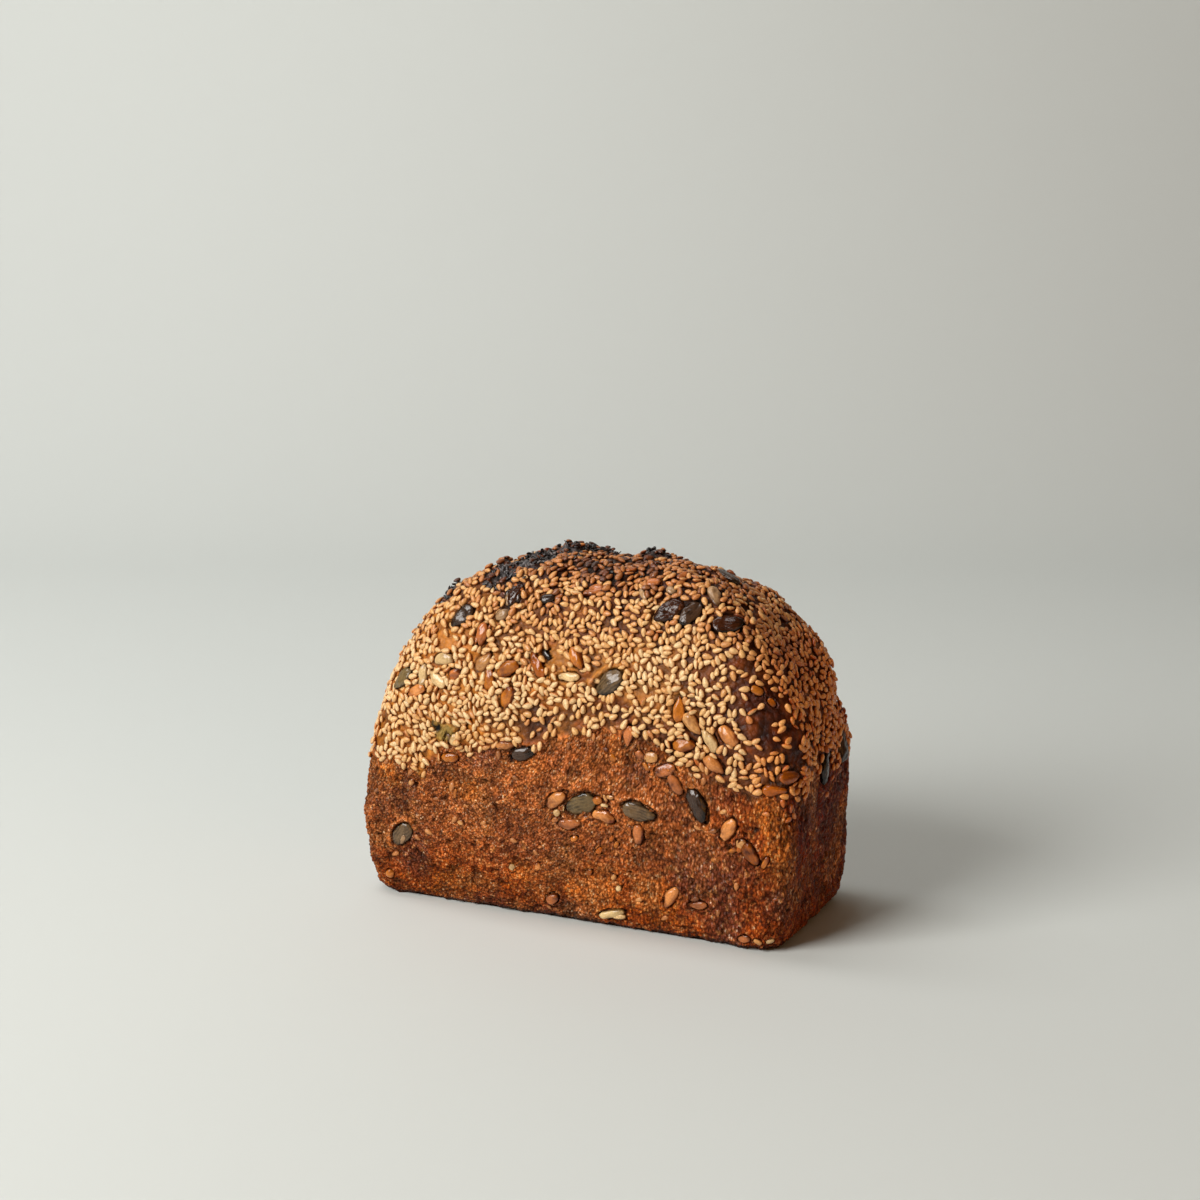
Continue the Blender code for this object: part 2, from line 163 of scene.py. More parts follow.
# The rule by which the solid spreads kernels over the crust that the photo doesn't show
SPREAD_KERNELS = ((PUMPKIN, 14, 0.020), (SUNFLOWER, 26, 0.014))
SPREAD_SCALES = (0.84, 1.08)
BARER_WALL = 0.35  # share of the kernels that keep their place where they fall below the seed line
TRIES_PER_SEED = 400
SPREAD_SEED = 11
HIDDEN = -0.2
BOX_SIDES = ((0, -1.0), (0, 1.0), (1, -1.0), (1, 1.0), (2, 1.0))
BOX_SHARES = (0.13, 0.13, 0.27, 0.27, 0.20)
SEED_GAP = 0.0007
WALL_SEEDS_START = 0.012
SEED_TOP = 0.127
STEEP = 0.8

RANDOM_SEED = 5


def srgb(red, green, blue):
    """A colour written as it looks on a screen, as the linear values that a material takes."""
    shares = np.array((red, green, blue), float)
    return np.where(shares <= 0.04045, shares / 12.92, ((shares + 0.055) / 1.055) ** 2.4)


def smooth_larger(a, b, reach):
    share = np.clip(0.5 + 0.5 * (a - b) / reach, 0.0, 1.0)
    return b + (a - b) * share + reach * share * (1.0 - share)


def wall_measure(x, y, z):
    half_length = FLOOR_LENGTH / 2 + WALL_SLOPE * z
    half_width = FLOOR_WIDTH / 2 + WALL_SLOPE * z
    radius = FOOT_CORNER_RADIUS + (CORNER_RADIUS - FOOT_CORNER_RADIUS) * eased(z, 0.0, CORNER_FULL)
    across = np.abs(x) - (half_length - radius)
    along = np.abs(y) - (half_width - radius)
    outside = np.hypot(np.maximum(across, 0.0), np.maximum(along, 0.0))
    return outside + np.minimum(np.maximum(across, along), 0.0) - radius


def dome_measure(x, y, z):
    from_x = x - DOME_SHIFT_X
    from_y = y - DOME_SHIFT_Y
    share_x = np.abs(from_x / DOME_HALF_LENGTH) ** PLAN_POWER_X
    share_y = np.abs(from_y / DOME_HALF_WIDTH) ** PLAN_POWER_Y
    rise = np.maximum(z, 0.0) / (LOAF_HEIGHT * (1.0 + DOME_TILT * from_x))
    whole = (share_x + share_y) ** PLAN_POWER + rise**RISE_POWER
    return (whole**MEASURE_POWER - 1.0) * DOME_HALF_WIDTH


def form(points):
    """Measure of the smooth loaf at each point: below zero inside, zero on its surface."""
    x = points[..., 0] - TIN_CENTRE_X
    y = points[..., 1] - TIN_CENTRE_Y
    z = points[..., 2]
    sides = smooth_larger(wall_measure(x, y, z), dome_measure(x, y, z), WALL_BLEND)
    return smooth_larger(sides, -z, FLOOR_ROUNDING)


def unit(vectors):
    return vectors / np.maximum(np.linalg.norm(vectors, axis=-1, keepdims=True), 1e-12)


def form_normals(points):
    step = 1e-4
    slopes = [form(points + offset) - form(points - offset) for offset in np.eye(3) * step]
    return unit(np.stack(slopes, axis=-1))


def leaving_points(starts, directions):
    """Where rays from inside the loaf leave the smooth form, found by halving."""
    near = np.zeros(len(starts))
    far = np.full(len(starts), FLOOR_LENGTH)
    for _ in range(26):
        middle = (near + far) / 2
        inside = form(starts + directions * middle[:, None]) < 0
        near = np.where(inside, middle, near)
        far = np.where(inside, far, middle)
    return starts + directions * near[:, None]


def eased(value, start, full):
    share = np.clip((value - start) / (full - start), 0.0, 1.0)
    return share * share * (3 - 2 * share)


def relief(points):
    """The swells and crags that the solid has too, for each point of the smooth form."""
    places = [Vector(point) for point in points]
    swells = np.array([noise.noise(place / SWELL_SPAN) for place in places])
    folds = np.array([abs(noise.noise(place / CRAG_SPAN)) for place in places])
    height = points[:, 2]
    swell = WALL_SWELL + (DOME_SWELL - WALL_SWELL) * eased(height, SWELL_START, SWELL_FULL)
    charred = eased(height, CRAG_START, CRAG_FULL)
    total = swell * swells + CRAG_HEIGHT * charred * (CRAG_LEVEL - 2.0 * folds)
    for middle, radius, rise in LUMPS:
        total += rise * np.exp(-((np.linalg.norm(points - middle, axis=1) / radius) ** 2))
    return total


def cell_values(cells, seed):
    """A settled random value from -1 to 1 for each whole-numbered cell."""
    mixed = cells[..., 0] * 73856093 ^ cells[..., 1] * 19349663 ^ cells[..., 2] * 83492791
    mixed = (mixed + seed * 2654435761) & 0xFFFFFFFF
    mixed = ((mixed ^ (mixed >> 16)) * 73244475) & 0xFFFFFFFF
    mixed = ((mixed ^ (mixed >> 16)) * 73244475) & 0xFFFFFFFF
    return ((mixed ^ (mixed >> 16)) & 0xFFFFFF) / 0x7FFFFF - 1.0


def soft_noise(points, span, seed):
    """Smooth random values from about -1 to 1 that change over a span."""
    places = points / span
    cells = np.floor(places).astype(np.int64)
    shares = places - cells
    shares = shares * shares * (3 - 2 * shares)
    total = np.zeros(len(points))
    for corner in itertools.product((0, 1), repeat=3):
        weights = np.prod(np.where(corner, shares, 1 - shares), axis=-1)
        total += weights * cell_values(cells + np.array(corner), seed)
    return total * 1.5


def summed_noise(points, layers):
    """Soft noises added up, each given as its height, its span and its seed."""
    return sum(height * soft_noise(points, span, seed) for height, span, seed in layers)


def patches(points, span, seed, start, full):
    """Soft-edged patches: none where a soft noise is at start, whole where it is at full."""
    return eased(soft_noise(points, span, seed), start, full)


def beads(points, span, seed):
    """Grains packed at a span: each point's height on its grain from 0 to 1, and the grain's value."""
    places = points / span
    cells = np.floor(places).astype(np.int64)
    nearest = np.full(len(points), 9.0)
    value = np.zeros(len(points))
    for shift in itertools.product((-1, 0, 1), repeat=3):
        cell = cells + np.array(shift)
        strays = np.stack([cell_values(cell, seed + axis) for axis in range(3)], axis=-1)
        middle = cell + 0.5 + 0.42 * strays
        gap = ((places - middle) ** 2).sum(axis=-1)
        closer = gap < nearest
        nearest = np.where(closer, gap, nearest)
        value = np.where(closer, cell_values(cell, seed + 3), value)
    return np.clip(1 - nearest / 0.5, 0, 1), value


def camera_axes():
    right = np.array((math.cos(CAMERA_TURN), math.sin(CAMERA_TURN), 0.0))
    level = np.array((-math.sin(CAMERA_TURN), math.cos(CAMERA_TURN), 0.0))
    forward = level * math.cos(CAMERA_DIP) - np.array((0.0, 0.0, math.sin(CAMERA_DIP)))
    return right, np.cross(right, forward), forward


def sighted(places):
    """Points of the loaf, and its outward directions there, that show at pixels of the photo."""
    right, up, forward = camera_axes()
    across, down = np.array(places, float).T
    rays = right * (across - PHOTO_MIDDLE)[:, None] + up * (PHOTO_MIDDLE - down)[:, None]
    rays = unit(rays + forward * PHOTO_FOCAL)
    reaches = np.linspace(0.6, 1.0, 1601)
    samples = np.array(CAMERA_PLACE) + rays[:, None] * reaches[None, :, None]
    measures = form(samples)
    first = np.where(measures.min(axis=1) < 0, (measures < 0).argmax(axis=1), measures.argmin(axis=1))
    points = samples[np.arange(len(samples)), first]
    for _ in range(4):
        points = points - form_normals(points) * form(points)[:, None]
    normals = form_normals(points)
    return points + normals * relief(points)[:, None], normals, rays


def plain_seed_line(x):
    """Height of the seeded skin's lower edge along X, before it wobbles."""
    left, right = SEED_LINE_ENDS
    fall = np.where(x < SEED_LINE_CREST, SEED_LINE_LEFT, SEED_LINE_RIGHT) - SEED_LINE_MIDDLE
    share = np.where(x < SEED_LINE_CREST, eased(x, SEED_LINE_CREST, left), eased(x, SEED_LINE_CREST, right))
    return SEED_LINE_MIDDLE + fall * share


def seed_line(points):
    """Height of the seeded skin's lower edge near each point."""
    wobble = SEED_LINE_WOBBLE * soft_noise(points * (1, 1, 0.2), 0.012, 3)
    return plain_seed_line(points[:, 0]) + wobble + 0.0016 * soft_noise(points * (1, 1, 0.4), 0.004, 4)


def near_spots(points, spots):
    """How strongly each point lies in spots, given as pixels across and down, radius in mm and strength."""
    centres, _, _ = sighted([spot[:2] for spot in spots])
    total = np.zeros(len(points))
    ragged = 1 + 0.35 * soft_noise(points, 0.0035, 21) + 0.25 * soft_noise(points, 0.0012, 22)
    for centre, (_, _, radius, strength) in zip(centres, spots):
        gap = np.linalg.norm(points - centre, axis=1) / (radius / 1000)
        total = np.maximum(total, strength * (1 - eased(gap * ragged, 0.55, 1.15)))
    return total


def mesh_object(name, points, faces, tints, normals=None, **more):
    """A smooth object from arrays of points, faces of equal size and colours, one colour a point."""
    mesh = bpy.data.meshes.new(name)
    mesh.vertices.add(len(points))
    mesh.vertices.foreach_set("co", points.astype(np.float32).ravel())
    mesh.loops.add(faces.size)
    mesh.loops.foreach_set("vertex_index", faces.astype(np.int32).ravel())
    mesh.polygons.add(len(faces))
    mesh.polygons.foreach_set("loop_start", np.arange(0, faces.size, faces.shape[1], dtype=np.int32))
    mesh.update(calc_edges=True)
    mesh.shade_smooth()
    layer = mesh.color_attributes.new("tint", "FLOAT_COLOR", "POINT")
    layer.data.foreach_set("color", np.c_[tints, np.ones(len(tints))].astype(np.float32).ravel())
    for key, values in more.items():
        extra = mesh.attributes.new(key, "FLOAT", "POINT")
        extra.data.foreach_set("value", values.astype(np.float32))
    if normals is not None:
        mesh.normals_split_custom_set_from_vertices(normals.astype(np.float32))
    made = bpy.data.objects.new(name, mesh)
    bpy.context.scene.collection.objects.link(made)
    return made


# Places on the photo where the crust changes: pixels across, pixels down, radius in mm, strength
BARE_SPOTS = (
    (612, 672, 8, 0.9), (600, 655, 6, 0.6), (640, 690, 6, 0.7), (445, 644, 6, 0.7), (470, 664, 5, 0.5),
    (560, 668, 7, 0.9), (536, 660, 4, 0.6), (757, 692, 6, 0.85), (766, 706, 7, 0.9), (775, 722, 8, 0.9),
    (785, 740, 8, 0.9), (793, 755, 7, 0.9), (760, 735, 6, 0.6), (530, 728, 8, 0.8), (560, 722, 7, 0.8),
    (600, 715, 7, 0.5), (449, 737, 5, 0.8), (455, 725, 4, 0.7), (438, 728, 3, 0.7), (800, 720, 6, 0.5),
)
PALE_SPOTS = (
    (612, 672, 9, 1.0), (600, 655, 7, 0.7), (640, 690, 7, 0.8), (560, 668, 8, 0.9), (445, 644, 7, 0.6),
    (470, 700, 14, 0.6), (440, 725, 12, 0.6), (500, 690, 9, 0.6), (660, 700, 9, 0.6), (660, 650, 10, 0.4),
)
BURNT_SPOTS = (
    (535, 728, 8, 0.6), (570, 735, 8, 0.5), (500, 748, 6, 0.5), (524, 753, 6, 0.9), (698, 806, 7, 1.0),
    (553, 603, 6, 1.0), (508, 598, 7, 0.9), (520, 596, 5, 0.9), (440, 598, 5, 0.9), (455, 588, 5, 0.8),
    (690, 622, 5, 0.8), (597, 594, 4, 0.6), (655, 590, 5, 0.5), (420, 627, 5, 0.5),
)
RIDGE_SPOTS = (
    (754, 689, 6, 0.9), (763, 703, 8, 1.0), (773, 719, 9, 1.0), (783, 735, 9, 1.0), (792, 750, 8, 1.0),
    (745, 670, 6, 0.5), (760, 740, 8, 0.6), (745, 745, 8, 0.5), (740, 712, 6, 0.5), (798, 700, 6, 0.5),
)
OLIVE_SPOTS = ((449, 735, 5, 1.0), (440, 728, 4, 0.8), (457, 740, 4, 0.9))
# Crevices, sunk as pits and painted dark as shade
CREVICE_SPOTS = (
    (438, 727, 1.6, 1.0), (460, 731, 1.6, 1.0), (465, 724, 1.4, 0.9), (434, 734, 1.4, 0.9),
    (455, 741, 1.8, 1.0), (462, 712, 1.3, 0.8), (451, 867, 1.2, 1.0), (545, 652, 1.8, 1.0),
    (811, 714, 1.8, 1.0), (756, 830, 2.0, 1.0), (512, 758, 1.6, 1.0),
)
CHAR_SPOTS = (
    (494, 578, 6, 0.9), (506, 573, 8, 1.0), (520, 568, 9, 1.0), (534, 563, 9, 1.0), (548, 559, 9, 1.0),
    (562, 556, 8, 1.0), (576, 556, 8, 0.95), (590, 552, 7, 1.0), (604, 549, 6, 1.0), (616, 551, 4, 0.9),
    (630, 553, 4, 0.9), (648, 552, 6, 1.0), (665, 553, 5, 0.9), (682, 556, 4, 0.8), (697, 560, 4, 0.8),
    (725, 573, 6, 0.9), (742, 580, 4, 0.6), (446, 592, 6, 1.0), (457, 587, 5, 0.9), (500, 588, 4, 0.6),
)
WALL_DARK_SPOTS = (
    (400, 790, 10, 0.8), (440, 780, 9, 0.6), (480, 800, 10, 0.5), (520, 840, 12, 0.55), (560, 850, 12, 0.5),
    (500, 850, 9, 0.4), (600, 850, 8, 0.5), (740, 860, 11, 0.6), (700, 850, 8, 0.4), (786, 905, 9, 0.9),
    (430, 830, 8, 0.4), (650, 860, 8, 0.4), (380, 800, 6, 0.7), (720, 790, 9, 0.5), (560, 770, 8, 0.35),
    (675, 812, 6, 0.7), (690, 826, 6, 0.5),
)
WALL_BRIGHT_SPOTS = (
    (775, 830, 8, 0.9), (779, 850, 7, 0.9), (767, 810, 6, 0.8), (620, 750, 9, 0.5), (660, 760, 8, 0.5),
    (470, 790, 5, 0.8), (450, 785, 4, 0.6), (530, 760, 6, 0.4), (600, 880, 10, 0.4), (778, 872, 6, 0.5),
    (450, 885, 10, 0.5), (520, 870, 5, 0.5), (575, 890, 5, 0.6), (655, 900, 10, 0.4), (388, 770, 7, 0.8),
    (392, 750, 7, 0.9), (386, 735, 6, 0.7),
)


def lattice():
    """The whole crust's points as arrays: side columns by rows, the top, and the floor's rings."""
    nx, ny = COLUMNS_X, COLUMNS_Y
    across = crowded(np.linspace(-1, 1, nx + 1))
    along = crowded(np.linspace(-1, 1, ny + 1))
    near = [(u, -1.0) for u in across[:-1]] + [(1.0, v) for v in along[:-1]]
    far = [(u, 1.0) for u in across[:0:-1]] + [(-1.0, v) for v in along[:0:-1]]
    ring = np.array(near + far)
    top = np.stack(np.meshgrid(across, along, indexing="ij"), axis=-1).reshape(-1, 2)
    return ring, top


def crowded(share):
    """Places from -1 to 1 moved towards the nearer end."""
    return 0.7 * share + 0.3 * np.sin(share * math.pi / 2)


def cast(places):
    """Points of the smooth loaf on rays from its inner spine through places on a box round it.

    A place is given in shares of the box's half length, its half width and its height.
    """
    flare = WALL_SLOPE * LOAF_HEIGHT / 2
    half_length = FLOOR_LENGTH / 2 + flare
    half_width = FLOOR_WIDTH / 2 + flare
    spine_end = half_length - half_width
    box = places * (half_length, half_width, LOAF_HEIGHT)
    box[:, 2] = np.maximum(box[:, 2], FLOOR_HEIGHT)
    starts = np.zeros_like(box)
    starts[:, 0] = np.clip(box[:, 0], -spine_end, spine_end)
    starts[:, 2] = np.minimum(box[:, 2], LOAF_HEIGHT / 2)
    return leaving_points(starts + (TIN_CENTRE_X, TIN_CENTRE_Y, 0.0), unit(box - starts))


def joined_normals(points, faces):
    """Outward direction at each point, from the faces that meet there."""
    spans = np.cross(points[faces[:, 1]] - points[faces[:, 0]], points[faces[:, 2]] - points[faces[:, 0]])
    normals = np.zeros_like(points)
    for corner in range(3):
        np.add.at(normals, faces[:, corner], spans)
    return unit(normals)


def split_quads(quads, turned):
    """Triangles from four-sided faces, cut along one diagonal or the other."""
    one = quads[:, [0, 1, 2, 0, 2, 3]]
    other = quads[:, [0, 1, 3, 1, 2, 3]]
    return np.where(turned[:, None], other, one).reshape(-1, 3)


def crust_arrays(draws):
    """Points of the crust before its fine relief, with faces for the wall and for the dome."""
    ring, top = lattice()
    columns = len(ring)
    line = seed_line(cast(np.c_[ring, np.full(columns, 0.45)])) / LOAF_HEIGHT
    wall_steps = np.linspace(0, 1, WALL_ROWS + 1) ** ROW_POWER
    dome_steps = np.linspace(0, 1, DOME_ROWS + 1)[1:]
    wall = wall_steps[:, None] * line[None, :]
    dome = line[None, :] + (1 - line[None, :]) * dome_steps[:, None]
    heights = np.concatenate([wall, dome])
    rows = len(heights)
    sides = cast(np.c_[np.tile(ring, (rows, 1)), heights.ravel()])
    crown = cast(np.c_[top, np.ones(len(top))])
    middle = np.array((TIN_CENTRE_X, TIN_CENTRE_Y, 0.0))
    rim = sides[:columns] * (1, 1, 0)
    shares = np.linspace(1, 0.02, FLOOR_RINGS)[1:]
    floor = np.concatenate([middle + (rim - middle) * share for share in shares])
    points = np.concatenate([sides, crown, floor])
    points[:columns, 2] = 0.0

    number = np.arange(rows * columns).reshape(rows, columns)
    after = np.roll(number, -1, axis=1)
    quads = np.stack([number[:-1], after[:-1], after[1:], number[1:]], axis=-1)
    wall_quads = quads[:WALL_ROWS].reshape(-1, 4)
    dome_quads = quads[WALL_ROWS:].reshape(-1, 4)
    grid = rows * columns + np.arange(len(top)).reshape(COLUMNS_X + 1, COLUMNS_Y + 1)
    crown_quads = np.stack([grid[:-1, :-1], grid[1:, :-1], grid[1:, 1:], grid[:-1, 1:]], axis=-1)
    floor_number = rows * columns + len(top) + np.arange(len(floor)).reshape(-1, columns)
    rings = np.concatenate([number[:1], floor_number])
    turned = np.roll(rings, -1, axis=1)
    floor_quads = np.stack([rings[1:], turned[1:], turned[:-1], rings[:-1]], axis=-1)

    # The crown's border is the last row of the sides, so its own border points give way to them
    replacement = np.arange(len(points))
    border = [grid[:-1, 0], grid[-1, :-1], grid[:0:-1, -1], grid[0, :0:-1]]
    replacement[np.concatenate(border)] = number[-1]
    wall_faces = np.concatenate([wall_quads, floor_quads.reshape(-1, 4)])
    dome_faces = replacement[np.concatenate([dome_quads, crown_quads.reshape(-1, 4)])]
    wall_faces = split_quads(wall_faces, draws.random(len(wall_faces)) < 0.5)
    dome_faces = split_quads(dome_faces, draws.random(len(dome_faces)) < 0.5)
    return points, wall_faces, dome_faces


def strayed(points, normals, faces, draws):
    """Points moved along the surface by a share of their faces' size, so that no rows show."""
    sides = np.linalg.norm(points[faces[:, 0]] - points[faces[:, 1]], axis=1)
    size = np.zeros(len(points))
    size[faces[:, 0]] = sides
    step = draws.uniform(-1, 1, points.shape) * size[:, None] * LATTICE_JITTER
    step -= normals * (step * normals).sum(axis=1)[:, None]
    moved = points + step
    on_floor = points[:, 2] <= 0
    moved[on_floor] = points[on_floor]
    return moved


def drawn_out(points):
    """Points squeezed in height towards the right end, so that grains there are drawn out upwards."""
    squeezed = points.copy()
    squeezed[:, 2] *= 1 - 0.40 * eased(points[:, 0], -0.030, 0.055)
    return squeezed


def kernel_rings(points, placed, reach, breadth):
    """How strongly each point lies on rings round the kernels, at a reach in shares of their half size."""
    total = np.zeros(len(points))
    for centre, basis, size in zip(*placed):
        near = np.flatnonzero(np.abs(points - centre).max(axis=1) < size[0])
        across = (points[near] - centre) @ basis[:2].T / (size[:2] / 2)
        gap = np.abs(np.hypot(across[:, 0], across[:, 1]) - reach)
        total[near] = np.maximum(total[near], 1 - eased(gap, 0.0, breadth))
    return total


def fine_relief(points, line, placed, draws):
    """Heights of the grain, lumps and pits of the crust: coarse below the seed line, softer above."""
    grainy = 1 - eased(points[:, 2], line - 0.002, line + 0.005)
    tall = drawn_out(points)
    grains, _ = beads(tall, GRAIN_SPAN, GRAIN_SEED)
    lumps = summed_noise(tall, WALL_LUMPS)
    grain = GRAIN_RISE * (grains - 0.5) + GRAIN_FUZZ * draws.normal(size=len(points))
    pits = -PIT_DEPTH * patches(points, 0.0024, 34, 0.80, 1.2)
    cracks = CRACK_DEPTH * near_end_cracks(points)
    skin = summed_noise(points, SKIN_WAVES)
    char = near_spots(points, CHAR_SPOTS)
    flakes = 0.0015 * np.abs(soft_noise(points, 0.0032, 37)) + 0.0008 * soft_noise(points, 0.0014, 38)
    fine = grainy * (lumps + grain + pits - cracks) + (1 - grainy) * (skin + char * flakes)
    creep = kernel_rings(points, placed, *CREEP_RING) * (1 + 0.5 * soft_noise(points, 0.0020, 44))
    round_kernels = CREEP_RISE * creep - SEAM_DEPTH * kernel_rings(points, placed, *SEAM_RING)
    olive = OLIVE_RISE * near_spots(points, OLIVE_SPOTS) - PIT_DEPTH * near_spots(points, CREVICE_SPOTS)
    return fine + round_kernels + olive


def near_end_cracks(points):
    """How strongly each point lies in the upright cracks of the ends."""
    on_end = eased(np.abs(points[:, 0]), *END_REACH)
    line = np.abs(soft_noise(points * (1, 1, 0.16), 0.0050, 39))
    return on_end * patches(points, 0.010, 40, -0.1, 0.5) * (1 - eased(line, 0.0, 0.12))


def mix(first, second, share):
    """From the first colours to the second by a share for each point."""
    return first + (second - first) * np.clip(share, 0, 1)[..., None]


def layered(base, layers, count):
    """One colour a point: a base colour, and others laid over it, each by its share at each point."""
    tint = np.tile(base, (count, 1))
    for colour, share in layers:
        tint = mix(tint, colour, share)
    return tint


def wall_tints(points, heights, draws):
    """The baked colours of the grainy wall, point by point, with painted shade in its gaps, cracks and
    hollows and painted highlights on its grains and rises.
    """
    x, z = points[:, 0], points[:, 2]
    tall = drawn_out(points)
    grains, value = beads(tall, GRAIN_SPAN, GRAIN_SEED)
    specks = draws.random(len(points)) < SPECK_SHARE
    scorched = z + 0.0008 * soft_noise(points, 0.004, 43)
    layers = (
        (srgb(0.64, 0.275, 0.04), eased(z, 0.042, 0.010)),  # redder towards the foot: partly the crust's own colour, partly painted warm light bounced up from below
        (srgb(0.62, 0.25, 0.035), 0.85 * eased(x, 0.030, 0.080)),  # and towards the right end
        # Dark red-brown end face: partly the end's own crust, partly painted shade, as the end faces away
        # from the light
        (srgb(0.44, 0.11, 0.005), 0.92 * eased(x, 0.084, 0.089)),
        (srgb(0.40, 0.22, 0.15), 0.60 * patches(tall, 0.016, 41, 0.1, 0.95)),
        (srgb(0.82, 0.49, 0.22), 0.5 * patches(tall, 0.011, 42, 0.25, 1.0)),
        (srgb(0.27, 0.16, 0.13), 0.52 * near_spots(points, WALL_DARK_SPOTS)),
        (srgb(0.90, 0.48, 0.14), 0.7 * near_spots(points, WALL_BRIGHT_SPOTS)),
        (srgb(0.98, 0.66, 0.35), 0.45 * eased(value, 0.30, 1.0) * eased(grains, 0.1, 0.7)),  # pale grains, with a painted highlight on their tops
        (srgb(0.38, 0.15, 0.06), 0.45 * eased(-value, 0.35, 1.0)),  # dark grains
        (srgb(0.26, 0.09, 0.03), 0.5 * (1 - eased(grains, 0.0, 0.45))),  # painted shade between the grains
        (srgb(0.10, 0.04, 0.02), 0.7 * specks),
        # Painted shade in the end's upright cracks
        (srgb(0.07, 0.03, 0.02), 0.9 * near_end_cracks(points)),
        # Painted shade in the crevices
        (srgb(0.07, 0.03, 0.02), near_spots(points, CREVICE_SPOTS)),
        (srgb(0.13, 0.06, 0.03), 0.85 * eased(scorched, 0.0026, 0.0006)),  # the scorched foot
    )
    tint = layered(srgb(0.75, 0.40, 0.17), layers, len(points))
    mottled = 1 + summed_noise(tall, WALL_MOTTLES)
    # Rises are painted lighter and hollows darker: painted highlight and painted shade
    return tint * (mottled * (1 + np.clip(heights / 0.0014, -0.40, 0.35)))[:, None]


def skin_tints(points, heights, draws):
    """The colours of the dough's skin between the seeds, from pale to charred, with painted shade in its
    hollows and crevices and painted highlights on its rises.
    """
    x = points[:, 0]
    count = len(points)
    browned = eased(x + 0.010 * soft_noise(points, 0.012, 56), -0.005, 0.040)
    pale = np.maximum(near_spots(points, PALE_SPOTS), 0.5 * patches(points, 0.013, 54, 0.55, 1.0))
    toasted = toasting(points)
    amber_layer = (srgb(0.45, 0.20, 0.05), patches(points, 0.0035, 57, 0.1, 0.9))
    amber = layered(srgb(0.24, 0.09, 0.03), (amber_layer,), count)
    char_layers = (
        # Paler grey specks on the char: partly its own grey, partly a painted sheen
        (srgb(0.44, 0.42, 0.42), draws.random(count) ** 2),
        (srgb(0.36, 0.19, 0.11), 0.8 * patches(points, 0.0030, 58, 0.2, 0.9)),
    )
    char = layered(srgb(0.17, 0.16, 0.16), char_layers, count)
    layers = (
        (srgb(0.69, 0.42, 0.145), eased(x, -0.010, -0.050)),  # paler towards the left end
        (srgb(0.46, 0.23, 0.08), 0.6 * patches(points, 0.009, 51, -0.3, 0.8)),
        (srgb(0.31, 0.15, 0.07), 0.8 * browned),
        (srgb(0.67, 0.43, 0.18), pale),
        (srgb(0.28, 0.13, 0.06), eased(toasted, 0.05, 0.35)),
        (srgb(0.13, 0.08, 0.055), eased(toasted, 0.30, 0.60)),
        (srgb(0.20, 0.10, 0.08), 0.9 * near_spots(points, BURNT_SPOTS)),
        (amber, near_spots(points, RIDGE_SPOTS)),
        (srgb(0.50, 0.42, 0.20), 0.9 * near_spots(points, OLIVE_SPOTS)),
        (char, near_spots(points, CHAR_SPOTS)),
        # Painted shade in the crevices
        (srgb(0.06, 0.04, 0.03), near_spots(points, CREVICE_SPOTS)),
    )
    skin = layered(srgb(0.62, 0.37, 0.13), layers, count)
    uneven = 0.15 * soft_noise(points, 0.0012, 52) + 0.10 * draws.normal(size=count)
    # Rises are painted lighter and hollows darker: painted highlight and painted shade
    return skin * (1 + uneven + np.clip(heights / 0.0009, -0.5, 0.35))[:, None]


def crust_tints(points, heights, line, draws):
    """The colours of the whole crust: the wall's below the seed line, the skin's above it."""
    edge = line + summed_noise(points, EDGE_WAVES)
    above = eased(points[:, 2], edge - 0.002, edge + 0.0025)
    tints = mix(wall_tints(points, heights, draws), skin_tints(points, heights, draws), above)
    return np.clip(tints, DARKEST_TINT, 1)


def toasting(points):
    """How dark the oven baked the dome at each point: 0 is pale, 1 is burnt."""
    level = 0.19 * eased(points[:, 2], 0.092, 0.116) + 0.28 * eased(points[:, 2], 0.122, 0.134)
    right = 0.10 * eased(points[:, 0], 0.045, 0.09)
    return level + right + summed_noise(points, TOASTING_PATCHES)


def build_crust(placed, draws):
    """The tin-baked wall with its floor, and the dome's skin, sharing one lattice."""
    points, wall_faces, dome_faces = crust_arrays(draws)
    faces = np.concatenate([wall_faces, dome_faces])
    on_floor = points[:, 2] <= 0
    normals = form_normals(points)
    points = strayed(points, normals, faces, draws)
    normals = form_normals(points)
    line = seed_line(points)
    fine = fine_relief(points, line, placed, draws)
    moved = points + normals * (relief(points) + fine)[:, None]
    moved[on_floor, :2] = points[on_floor, :2]
    moved[on_floor, 2] = 0.0
    moved[:, 2] = np.maximum(moved[:, 2], 0.0)
    tints = crust_tints(moved, fine, line, draws)
    tints = mix(tints, tints * SEAM_SHADOW, kernel_rings(moved, placed, *SEAM_SHADOW_RING))
    shading = joined_normals(moved, faces)
    tall = drawn_out(moved)[:, 2]
    made = []
    for name, part in (("tin_crust", wall_faces), ("dome_skin", dome_faces)):
        used = np.unique(part)
        renumbered = np.searchsorted(used, part)
        made.append(mesh_object(name, moved[used], renumbered, tints[used], shading[used], tall=tall[used]))
    return made, moved, faces


